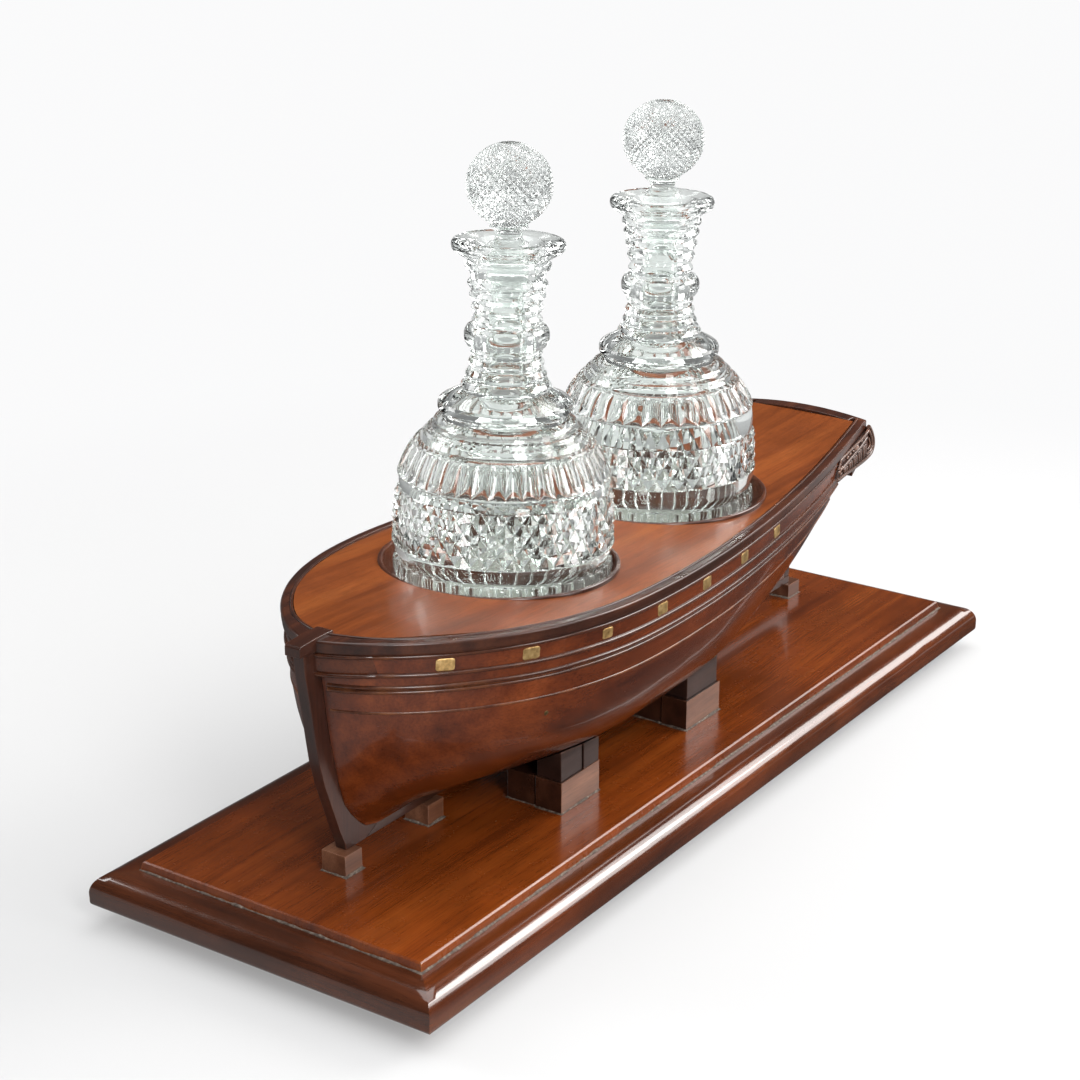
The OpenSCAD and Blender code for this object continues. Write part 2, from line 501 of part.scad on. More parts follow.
// ---------- glass ----------
// [radius, height above the base]; k scales the body, the neck keeps its size
function body_outline(k) = [[42.5 * k, 0], [45.5 * k, 1.6], [52.6 * k, 9], [58.2 * k, 19], [61.0 * k, 31.5], [61.0 * k, 36.5],
    [59.6 * k, 39.5], [61.3 * k, 43.5], [62.1 * k, 49], [62.2 * k, 60], [61.6 * k, 70], [60.0 * k, 78.5], [58.0 * k, 80],
    [57.5 * k, 84.8], [58.6 * k, 87.6], [55.4 * k, 96], [50.0 * k, 104.4], [46.6 * k, 105.6], [45.4 * k, 108.6], [43.6 * k, 111.6],
    [40.2 * k, 112.4], [39.6 * k, 115.4], [37.6 * k, 117.0], [34.2 * k, 117.6], [34.2 * k, 119.8],
    [36.2 * k, 121.4], [36.5 * k, 125.4], [35.2 * k, 128.6], [30.0, 130.4], [26.4, 131.8],
    [24.2, 136.0], [21.8, 142.2], [20.4, 148.6], [19.4, 155], [21.2, 157.2], [22.8, 161], [22.8, 165], [21.2, 168.4], [18.4, 170.2],
    [18.3, 175.2], [19.2, 181.2], [20.3, 187.8], [21.4, 194.8], [22.8, 200.6], [23.0, 205.2], [27.6, 208.2],
    [30.4, 209.8], [30.9, 212.2], [30.6, 214.6], [28.4, 215.6], [17.0, 214.4], [15.2, 213.0]];
function cavity(k) = [[12.3, 212.2], [10.3, 182], [10.9, 176], [11.6, 150], [13.0, 140], [18.0, 131], [27 * k, 123], [36 * k, 112], [44 * k, 100],
    [48.6 * k, 86], [51.5 * k, 72], [52 * k, 56], [50.5 * k, 38], [44 * k, 20], [36 * k, 13.4], [0, 11]];
module glass_body(x, lean, k, off = [0, 0]) color(glass_c) translate([0, 0, P]) well_place(x, lean)
    translate([off[0], off[1], -well_d + 1.6]) rotate_extrude($fn = 96) difference() {
        polygon(concat([[0, 1.8], [38 * k, 1.0], [40 * k, 0]], body_outline(k), cavity(k)));
    }
ball_r = 23.8;
module stopper(x, lean, dz, r, off = [0, 0]) color(glass_c) translate([0, 0, P]) well_place(x, lean)
    translate([off[0], off[1], -well_d + 1.6 + dz]) rotate_extrude($fn = 96) polygon(concat(
        [[0, -62.5], [9.4, -62.5], [9.95, -61.8], [11.9, -33.2], [10.9, -31.0], [7.6, -29.4], [7.3, -25.6], [9.6, -23.0],
         [11.6, -r * 0.935]],
        [for (a = [-58:8:78]) [r * cos(a), r * 0.955 * sin(a)]], [[0, r * 0.955]]));

module foot_bow_port() foot(-foot_x, -foot_y);
module foot_bow_starboard() foot(-foot_x, foot_y);
module foot_stern_port() foot(foot_x, -foot_y);
module foot_stern_starboard() foot(foot_x, foot_y);

plinth_board();
plinth_panel();
foot_bow_port();
foot_bow_starboard();
foot_stern_port();
foot_stern_starboard();
keel_block(-238, 16, 14, block_xs[0]);  // keel_block_bow
keel_block(-166, 16, 14, block_xs[1]);  // keel_block_fore
keel_block(246, 13.4, 15, block_xs[2]);  // keel_block_stern
chock_base(bow_chock_x, true);  // bow_chock_base_port
chock_base(bow_chock_x, false);  // bow_chock_base_starboard
chock_inner(bow_chock_x, true);  // bow_chock_inner_port
chock_inner(bow_chock_x, false);  // bow_chock_inner_starboard
bow_caps(true);  // bow_chock_caps_port
bow_caps(false);  // bow_chock_caps_starboard
chock_base(stern_chock_x, true);  // stern_chock_base_port
chock_base(stern_chock_x, false);  // stern_chock_base_starboard
chock_inner(stern_chock_x, true);  // stern_chock_inner_port
chock_inner(stern_chock_x, false);  // stern_chock_inner_starboard
stern_cap(true);  // stern_chock_cap_port
stern_cap(false);  // stern_chock_cap_starboard
keel();
stem_post();
stern_post();
stem_head();
hull_half(true);  // hull_port
hull_half(false);  // hull_starboard
counter_block();
stern_board();
gallery(true);  // quarter_gallery_port
gallery(false);  // quarter_gallery_starboard
deck();
deck_beam(-172);  // deck_beam_fore
deck_beam(-9);  // deck_beam_middle
deck_beam(155);  // deck_beam_aft
well_bearer(fore_x, fore_lean);  // well_bearer_fore
well_bearer(aft_x, aft_lean);  // well_bearer_aft
well_cup(fore_x, fore_lean);  // well_cup_fore
well_cup(aft_x, aft_lean);  // well_cup_aft
baize(fore_x, fore_lean);  // baize_fore
baize(aft_x, aft_lean);  // baize_aft
cap_rail(true);  // cap_rail_port
cap_rail(false);  // cap_rail_starboard
taffrail();
side_strip(true, 8.2, half_round, 0.905);  // sheer_bead_port
side_strip(false, 8.2, half_round, 0.905);  // sheer_bead_starboard
side_strip(true, 18.6, half_round, 0.905);  // plate_bead_port
side_strip(false, 18.6, half_round, 0.905);  // plate_bead_starboard
side_strip(true, 27.4, double_round, 0.945);  // wale_bead_port
side_strip(false, 27.4, double_round, 0.945);  // wale_bead_starboard
side_strip(true, 40.5, thin_strake, 0.95);  // strake_port
side_strip(false, 40.5, thin_strake, 0.95);  // strake_starboard
brass_plates();
brass_pins();
keel_screws();
chock_screws();
glass_body(fore_x, fore_lean, fore_r / 62.2, [fore_aft, -fore_port]);  // decanter_fore
glass_body(aft_x, aft_lean, aft_r / 62.2);  // decanter_aft
stopper(fore_x, fore_lean, 244.6, ball_r, [fore_aft, -fore_port]);  // stopper_fore
stopper(aft_x, aft_lean, 249.4, ball_r + 0.5);  // stopper_aft
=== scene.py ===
import bpy, bmesh, math
from math import sin, cos, tan, pi, sqrt, radians, exp, hypot, atan2, log
from mathutils import Vector, Matrix, noise


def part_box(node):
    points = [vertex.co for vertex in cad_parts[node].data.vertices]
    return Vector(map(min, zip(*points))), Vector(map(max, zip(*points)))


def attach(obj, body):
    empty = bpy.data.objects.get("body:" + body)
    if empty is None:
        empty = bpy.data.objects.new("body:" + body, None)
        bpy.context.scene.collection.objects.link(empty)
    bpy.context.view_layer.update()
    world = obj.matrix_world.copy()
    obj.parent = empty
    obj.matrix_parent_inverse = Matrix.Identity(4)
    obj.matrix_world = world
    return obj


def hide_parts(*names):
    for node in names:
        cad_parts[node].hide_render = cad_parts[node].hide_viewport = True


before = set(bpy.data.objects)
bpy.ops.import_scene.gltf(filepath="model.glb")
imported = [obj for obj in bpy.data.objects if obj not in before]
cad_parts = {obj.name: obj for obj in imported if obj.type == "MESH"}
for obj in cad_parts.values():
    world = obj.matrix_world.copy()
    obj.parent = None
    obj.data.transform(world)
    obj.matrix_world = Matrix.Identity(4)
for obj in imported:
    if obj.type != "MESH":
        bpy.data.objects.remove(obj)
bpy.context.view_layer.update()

scene = bpy.context.scene
MM = 0.001


# ---------------------------------------------------------------- camera
def make_camera():
    cam = bpy.data.cameras.new("camera")
    cam.sensor_width = 36.0
    cam.sensor_height = 36.0
    cam.sensor_fit = 'HORIZONTAL'
    cam.lens = 77.47
    cam.clip_start = 0.01
    cam.clip_end = 50.0
    ob = bpy.data.objects.new("camera", cam)
    scene.collection.objects.link(ob)
    ob.location = (-1.0825, -0.7078, 0.6248)
    yaw, pitch = radians(34.507), radians(-20.19)
    d = Vector((cos(pitch) * cos(yaw), cos(pitch) * sin(yaw), sin(pitch)))
    ob.rotation_euler = d.to_track_quat('-Z', 'Y').to_euler()
    scene.camera = ob
    return ob


# ---------------------------------------------------------------- node helper
class Tree:
    """Short hand for building a node tree."""

    def __init__(self, tree):
        self.t = tree

    def n(self, kind, **kw):
        node = self.t.nodes.new(kind)
        ins = kw.pop("ins", {})
        for k, v in kw.items():
            setattr(node, k, v)
        for k, v in ins.items():
            self.put(node.inputs[k], v)
        return node

    def put(self, socket, v):
        if isinstance(v, bpy.types.NodeSocket):
            self.t.links.new(v, socket)
        elif isinstance(v, bpy.types.Node):
            self.t.links.new(v.outputs[0], socket)
        else:
            socket.default_value = v

    def math(self, op, a, b=None, clamp=False):
        node = self.n("ShaderNodeMath", operation=op, use_clamp=clamp)
        self.put(node.inputs[0], a)
        if b is not None:
            self.put(node.inputs[1], b)
        return node.outputs[0]

    def mix(self, f, a, b, mode='MIX'):
        node = self.n("ShaderNodeMix", data_type='RGBA', blend_type=mode)
        node.clamp_factor = True
        self.put(node.inputs[0], f)
        self.put(node.inputs[6], a)
        self.put(node.inputs[7], b)
        return node.outputs[2]

    def ramp(self, f, stops, interp='LINEAR'):
        node = self.n("ShaderNodeValToRGB")
        node.color_ramp.interpolation = interp
        els = node.color_ramp.elements
        while len(els) < len(stops):
            els.new(0.5)
        for e, (p, c) in zip(els, stops):
            e.position = p
            e.color = (c, c, c, 1) if isinstance(c, (int, float)) else (*c, 1)
        self.put(node.inputs[0], f)
        return node.outputs[0]

    def noise(self, vec, scale, detail=3.0, rough=0.5, dist=0.0):
        node = self.n("ShaderNodeTexNoise", ins={"Scale": scale, "Detail": detail, "Roughness": rough, "Distortion": dist})
        self.put(node.inputs["Vector"], vec)
        return node.outputs[0]

    def mapping(self, vec, scale=(1, 1, 1), rot=(0, 0, 0), loc=(0, 0, 0)):
        node = self.n("ShaderNodeMapping", ins={"Scale": scale, "Rotation": rot, "Location": loc})
        self.put(node.inputs["Vector"], vec)
        return node.outputs[0]


def new_material(name):
    mat = bpy.data.materials.new(name)
    mat.use_nodes = True
    t = Tree(mat.node_tree)
    b = mat.node_tree.nodes["Principled BSDF"]
    return mat, t, b


# ---------------------------------------------------------------- materials
def wood(name, dark, mid, light, grain='X', rough=0.30, coat=0.5, coat_rough=0.07, spec=0.35, patina=0.35,
         edge=0.25, edge_col=(0.36, 0.13, 0.05), grime_and_shade=0.6, seed=0.0, figure=1.0, bump=0.25, ripple=0.0, scuffs=0.0, painted_low_shade=False):
    """French-polished mahogany. Grain runs along the axis named."""
    mat, t, b = new_material(name)
    co = t.n("ShaderNodeTexCoord").outputs["Object"]
    rot = {'X': (0, 0, 0), 'Y': (0, 0, pi / 2), 'Z': (0, pi / 2, 0)}[grain]
    p = t.mapping(co, rot=rot, loc=(seed, seed * 0.37, seed * 0.71))
    # slow wander of the grain
    wander = t.noise(t.mapping(p, scale=(3.0, 9.0, 9.0)), 1.0, 2.0)
    bands_v = t.n("ShaderNodeVectorMath", operation='MULTIPLY_ADD', ins={1: (0.0, 0.016, 0.012)})
    comb = t.n("ShaderNodeCombineXYZ")
    for k in (0, 1, 2):
        t.put(comb.inputs[k], wander)
    t.put(bands_v.inputs[0], comb.outputs[0])
    t.put(bands_v.inputs[2], p)
    pv = bands_v.outputs[0]
    bands = t.noise(t.mapping(pv, scale=(2.2, 95.0, 60.0)), 1.0, 5.0, 0.55)
    ribbon = t.noise(t.mapping(pv, scale=(5.0, 26.0, 20.0)), 1.0, 3.0, 0.5)
    fibre = t.noise(t.mapping(pv, scale=(22.0, 900.0, 700.0)), 1.0, 3.0, 0.65)
    pores = t.noise(t.mapping(pv, scale=(90.0, 2600.0, 2200.0)), 1.0, 2.0, 0.6)
    f = t.math('ADD', t.math('MULTIPLY', bands, 0.62), t.math('MULTIPLY', ribbon, 0.38))
    c = t.ramp(f, [(0.34, dark), (0.50, mid), (0.68, light)])
    flat = t.mix(1.0 - figure, c, (*mid, 1)) if figure < 1 else c
    fib = t.ramp(fibre, [(0.30, 0.62), (0.55, 1.0), (0.8, 1.12)])
    c = t.mix(0.75, flat, fib, 'MULTIPLY')
    por = t.ramp(pores, [(0.30, 0.28), (0.42, 1.0)])
    c = t.mix(0.55, c, por, 'MULTIPLY')
    # darkened polish in broad patches
    pat = t.noise(t.mapping(co, scale=(9, 9, 9), loc=(seed + 2, 0, 0)), 1.0, 4.0, 0.6)
    patm = t.ramp(pat, [(0.38, 1.0 - patina), (0.62, 1.06)])
    c = t.mix(0.9, c, patm, 'MULTIPLY')
    if painted_low_shade:
        # painted shade: the colour is darkened low down on the hull, abaft the bow
        sp = t.n("ShaderNodeSeparateXYZ")
        t.put(sp.inputs[0], co)
        low = t.ramp(t.math('MULTIPLY', sp.outputs[2], 5.0), [(0.28, 0.46), (0.50, 0.66), (0.72, 0.92), (0.80, 1.0)])
        abaft = t.ramp(t.math('MULTIPLY', t.math('ADD', sp.outputs[0], 0.3), 2.0), [(0.12, 0.0), (0.42, 1.0)])
        c = t.mix(abaft, c, t.mix(1.0, c, low, 'MULTIPLY'))
    # painted shade and dirt darken the corners, from an occlusion mask; colour worn through on the arrises
    ao = t.n("ShaderNodeAmbientOcclusion", samples=4, ins={"Distance": 0.006})
    dirt_and_shade = t.ramp(ao.outputs["AO"], [(0.30, 1.0), (0.85, 0.0)])
    brk = t.ramp(t.noise(co, 160.0, 3.0, 0.6), [(0.35, 0.45), (0.65, 1.0)])
    dirt_and_shade = t.math('MULTIPLY', t.math('MULTIPLY', dirt_and_shade, brk), grime_and_shade)
    c = t.mix(dirt_and_shade, c, (dark[0] * 0.22, dark[1] * 0.25, dark[2] * 0.3, 1))
    ei = t.n("ShaderNodeAmbientOcclusion", samples=4, inside=True, only_local=True, ins={"Distance": 0.0016})
    em = t.ramp(ei.outputs["AO"], [(0.30, 1.0), (0.62, 0.0)])
    em = t.math('MULTIPLY', t.math('MULTIPLY', em, t.ramp(t.noise(co, 70.0, 4.0, 0.6), [(0.40, 0.0), (0.62, 1.0)])), edge)
    c = t.mix(em, c, (*edge_col, 1))
    t.put(b.inputs["Base Color"], c)
    # roughness: polish broken by fine wear
    rn = t.noise(t.mapping(co, scale=(30, 30, 30)), 1.0, 5.0, 0.65)
    r = t.math('ADD', t.math('MULTIPLY', rn, 0.22), rough - 0.11)
    r = t.math('ADD', r, t.math('MULTIPLY', dirt_and_shade, 0.25), clamp=True)
    t.put(b.inputs["Roughness"], r)
    b.inputs["Specular IOR Level"].default_value = spec
    b.inputs["Coat Weight"].default_value = coat
    b.inputs["Coat Roughness"].default_value = coat_rough
    b.inputs["Coat IOR"].default_value = 1.45
    h = t.math('ADD', t.math('MULTIPLY', fibre, 0.35), t.math('MULTIPLY', pores, 0.35))
    if ripple:
        h = t.math('ADD', h, t.math('MULTIPLY', t.noise(t.mapping(co, scale=(14, 26, 26)), 1.0, 2.0), ripple))
    if scuffs:
        sc = t.noise(t.mapping(co, scale=(260, 900, 260), rot=(0, 0, 0.5)), 1.0, 1.0)
        h = t.math('ADD', h, t.math('MULTIPLY', t.ramp(sc, [(0.70, 0.0), (0.76, 1.0)]), -scuffs))
    bp = t.n("ShaderNodeBump", ins={"Strength": bump, "Distance": 0.0004})
    t.put(bp.inputs["Height"], h)
    t.put(b.inputs["Normal"], bp.outputs[0])
    cb = t.n("ShaderNodeBump", ins={"Strength": 0.03 + bump * 0.08, "Distance": 0.0004})
    t.put(cb.inputs["Height"], t.math('ADD', t.noise(t.mapping(co, scale=(60, 110, 110)), 1.0, 2.0), t.math('MULTIPLY', pores, 0.08)))
    t.put(b.inputs["Coat Normal"], cb.outputs[0])
    return mat


def glass_material():
    mat, t, b = new_material("cut_glass")
    co = t.n("ShaderNodeTexCoord").outputs["Object"]
    v = t.noise(co, 9.0, 2.0)
    clear = t.mix(v, (0.885, 0.922, 0.902, 1), (0.905, 0.938, 0.921, 1))
    # painted shade: the colour is darkened at the bottoms of the cuts
    cut_shade = t.ramp(t.n("ShaderNodeNewGeometry").outputs["Pointiness"], [(0.40, 0.52), (0.485, 1.0)])
    t.put(b.inputs["Base Color"], t.mix(1.0, clear, cut_shade, 'MULTIPLY'))
    b.inputs["Transmission Weight"].default_value = 1.0
    b.inputs["IOR"].default_value = 1.53
    t.put(b.inputs["Roughness"], t.ramp(t.noise(co, 400.0, 2.0), [(0.55, 0.0), (0.9, 0.05)]))
    bp = t.n("ShaderNodeBump", ins={"Strength": 0.06, "Distance": 0.0006})
    t.put(bp.inputs["Height"], t.noise(co, 75.0, 2.0))
    t.put(b.inputs["Normal"], bp.outputs[0])
    return mat


def ball_glass():
    """The balls are cut all over and not polished after it, so they are a little misty."""
    mat, t, b = new_material("ball_glass")
    co = t.n("ShaderNodeTexCoord").outputs["Object"]
    b.inputs["Transmission Weight"].default_value = 1.0
    b.inputs["IOR"].default_value = 1.53
    clear = t.mix(t.noise(co, 60.0), (0.790, 0.822, 0.806, 1), (0.820, 0.848, 0.835, 1))
    # painted shade: the colour is darkened at the bottoms of the cuts
    cut_shade = t.ramp(t.n("ShaderNodeNewGeometry").outputs["Pointiness"], [(0.40, 0.30), (0.50, 0.93)])
    t.put(b.inputs["Base Color"], t.mix(1.0, clear, cut_shade, 'MULTIPLY'))
    t.put(b.inputs["Roughness"], t.ramp(t.noise(co, 120.0, 2.0), [(0.3, 0.05), (0.7, 0.09)]))
    return mat


def ground_glass():
    """The ground plug of a stopper, where it seats in the neck."""
    mat, t, b = new_material("ground_glass")
    co = t.n("ShaderNodeTexCoord").outputs["Object"]
    b.inputs["Transmission Weight"].default_value = 1.0
    b.inputs["IOR"].default_value = 1.53
    t.put(b.inputs["Base Color"], t.mix(t.noise(co, 300.0), (0.9, 0.93, 0.92, 1), (0.96, 0.98, 0.97, 1)))
    t.put(b.inputs["Roughness"], t.ramp(t.noise(co, 900.0, 2.0), [(0.3, 0.10), (0.7, 0.26)]))
    return mat


def brass(name, bright=1.0):
    mat, t, b = new_material(name)
    co = t.n("ShaderNodeTexCoord").outputs["Object"]
    geo = t.n("ShaderNodeNewGeometry")
    n1 = t.noise(co, 260.0, 5.0, 0.6)
    n2 = t.noise(co, 900.0, 3.0, 0.6)
    isl = geo.outputs["Random Per Island"]
    c = t.ramp(n1, [(0.32, (0.26 * bright, 0.145 * bright, 0.050 * bright)), (0.52, (0.62 * bright, 0.40 * bright, 0.16 * bright)), (0.72, (0.80 * bright, 0.58 * bright, 0.28 * bright))])
    c = t.mix(t.math('MULTIPLY', isl, 0.35), c, (0.16, 0.115, 0.05, 1))
    t.put(b.inputs["Base Color"], c)
    b.inputs["Metallic"].default_value = 0.8
    t.put(b.inputs["Roughness"], t.ramp(n2, [(0.3, 0.36), (0.7, 0.58)]))
    bp = t.n("ShaderNodeBump", ins={"Strength": 0.45, "Distance": 0.0003})
    t.put(bp.inputs["Height"], t.math('ADD', t.noise(co, 520.0, 2.0), t.math('MULTIPLY', n2, 0.4)))
    t.put(b.inputs["Normal"], bp.outputs[0])
    return mat


def baize_material():
    mat, t, b = new_material("baize")
    co = t.n("ShaderNodeTexCoord").outputs["Object"]
    n1 = t.noise(co, 2200.0, 3.0, 0.7)
    n2 = t.noise(co, 60.0, 3.0)
    c = t.ramp(n1, [(0.3, (0.20, 0.215, 0.19)), (0.7, (0.40, 0.42, 0.385))])
    c = t.mix(t.math('MULTIPLY', n2, 0.4), c, (0.28, 0.27, 0.22, 1))
    t.put(b.inputs["Base Color"], c)
    b.inputs["Roughness"].default_value = 0.95
    b.inputs["Sheen Weight"].default_value = 0.5
    bp = t.n("ShaderNodeBump", ins={"Strength": 0.6, "Distance": 0.0004})
    t.put(bp.inputs["Height"], n1)
    t.put(b.inputs["Normal"], bp.outputs[0])
    return mat


def wax_material():
    """Old polish and dust caked in a corner."""
    mat, t, b = new_material("old_wax")
    co = t.n("ShaderNodeTexCoord").outputs["Object"]
    n1 = t.noise(co, 420.0, 4.0, 0.65)
    t.put(b.inputs["Base Color"], t.ramp(n1, [(0.35, (0.030, 0.017, 0.011)), (0.55, (0.11, 0.08, 0.06)), (0.75, (0.26, 0.22, 0.18))]))
    b.inputs["Roughness"].default_value = 0.7
    bp = t.n("ShaderNodeBump", ins={"Strength": 0.5, "Distance": 0.0004})
    t.put(bp.inputs["Height"], n1)
    t.put(b.inputs["Normal"], bp.outputs[0])
    return mat


M = {}


def make_materials():
    M["hull"] = wood("hull_mahogany", (0.058, 0.0108, 0.0028), (0.120, 0.0235, 0.0050), (0.200, 0.044, 0.0092), rough=0.24, coat=0.55,
                     coat_rough=0.06, ripple=0.35, patina=0.16, edge=0.3, painted_low_shade=True)
    M["deck"] = wood("deck_mahogany", (0.130, 0.030, 0.0070), (0.205, 0.050, 0.0105), (0.275, 0.076, 0.0165), rough=0.32, coat=0.16, spec=0.20,
                     coat_rough=0.16, seed=1.3, patina=0.22, grime_and_shade=0.7, ripple=0.6)
    M["rail"] = wood("rail_mahogany", (0.022, 0.008, 0.005), (0.052, 0.015, 0.0075), (0.110, 0.032, 0.012), rough=0.30, coat=0.26,
                     coat_rough=0.15, seed=2.1, patina=0.35, edge=0.55, edge_col=(0.30, 0.10, 0.04))
    M["bead"] = wood("moulding_mahogany", (0.035, 0.010, 0.005), (0.075, 0.020, 0.008), (0.145, 0.045, 0.014), rough=0.24, coat=0.45,
                     coat_rough=0.12, seed=2.9, patina=0.35, edge=0.35)
    M["stem"] = wood("stem_mahogany", (0.018, 0.0055, 0.0035), (0.040, 0.0105, 0.0050), (0.080, 0.022, 0.0085), grain='Z', rough=0.34, coat=0.3, coat_rough=0.14,
                     seed=3.3, patina=0.4, edge=0.5, edge_col=(0.22, 0.07, 0.03))
    M["keel"] = wood("keel_mahogany", (0.016, 0.006, 0.004), (0.036, 0.011, 0.006), (0.070, 0.021, 0.009), rough=0.3, coat=0.4, seed=3.9, patina=0.4, edge=0.4)
    M["panel"] = wood("panel_mahogany", (0.100, 0.019, 0.0030), (0.175, 0.035, 0.0045), (0.250, 0.058, 0.0085), rough=0.26, coat=0.34,
                      coat_rough=0.09, seed=5.1, patina=0.34, edge=0.9, edge_col=(0.42, 0.17, 0.06), scuffs=0.25)
    M["board"] = wood("plinth_mahogany", (0.040, 0.0095, 0.0035), (0.098, 0.022, 0.0055), (0.175, 0.045, 0.010), rough=0.2, coat=1.0,
                      coat_rough=0.045, seed=6.7, patina=0.45, edge=0.6, edge_col=(0.30, 0.11, 0.05), scuffs=0.2)
    M["board_end"] = wood("plinth_end_mahogany", (0.036, 0.011, 0.0055), (0.082, 0.022, 0.0080), (0.150, 0.043, 0.014), grain='Y', rough=0.2, coat=0.8,
                          coat_rough=0.045, seed=7.7, patina=0.45, edge=0.6, edge_col=(0.30, 0.11, 0.05), scuffs=0.2)
    M["block"] = wood("block_mahogany", (0.085, 0.031, 0.016), (0.165, 0.066, 0.034), (0.265, 0.118, 0.064), rough=0.32, coat=0.35, seed=8.2,
                      patina=0.4, edge=0.8, edge_col=(0.38, 0.19, 0.12), grime_and_shade=0.8)
    M["chock"] = wood("chock_mahogany", (0.022, 0.008, 0.005), (0.045, 0.0155, 0.0085), (0.085, 0.031, 0.0155), rough=0.3, coat=0.4, seed=9.1,
                      patina=0.3, edge=0.6, edge_col=(0.26, 0.11, 0.06), grime_and_shade=0.8)
    M["cap"] = wood("cap_mahogany", (0.012, 0.0055, 0.0042), (0.026, 0.0110, 0.0080), (0.050, 0.022, 0.0150), rough=0.42, coat=0.12, seed=9.4,
                    patina=0.3, edge=0.6, edge_col=(0.20, 0.09, 0.055), grime_and_shade=0.8)
    M["bulwark"] = wood("bulwark_mahogany", (0.036, 0.0090, 0.0035), (0.078, 0.0180, 0.0058), (0.135, 0.0340, 0.0090), rough=0.26, coat=0.45,
                        coat_rough=0.07, seed=4.4, patina=0.3, edge=0.4)
    M["foot"] = wood("foot_mahogany", (0.020, 0.007, 0.004), (0.045, 0.013, 0.006), (0.085, 0.026, 0.010), rough=0.25, coat=0.5, seed=9.8)
    M["carved"] = wood("carved_mahogany", (0.060, 0.030, 0.021), (0.130, 0.066, 0.046), (0.22, 0.120, 0.085), rough=0.24, coat=0.6,
                       coat_rough=0.07, seed=11.0, patina=0.25, edge=0.5, edge_col=(0.36, 0.17, 0.10), grime_and_shade=1.0)
    M["inner"] = wood("inner_mahogany", (0.05, 0.018, 0.009), (0.10, 0.035, 0.016), (0.17, 0.06, 0.025), grain='Y', rough=0.5, coat=0.0, seed=12.0)
    M["well"] = wood("well_mahogany", (0.030, 0.009, 0.005), (0.070, 0.020, 0.009), (0.13, 0.04, 0.016), rough=0.25, coat=0.5, seed=13.0, edge=0.4,
                     edge_col=(0.30, 0.11, 0.05))
    M["glass"] = glass_material()
    M["ground"] = ground_glass()
    M["ball"] = ball_glass()
    M["brass"] = brass("old_brass", 0.9)
    M["brass_bright"] = brass("bright_brass", 1.3)
    M["brass_dull"] = brass("dull_brass", 0.30)
    M["baize"] = baize_material()
    M["wax"] = wax_material()


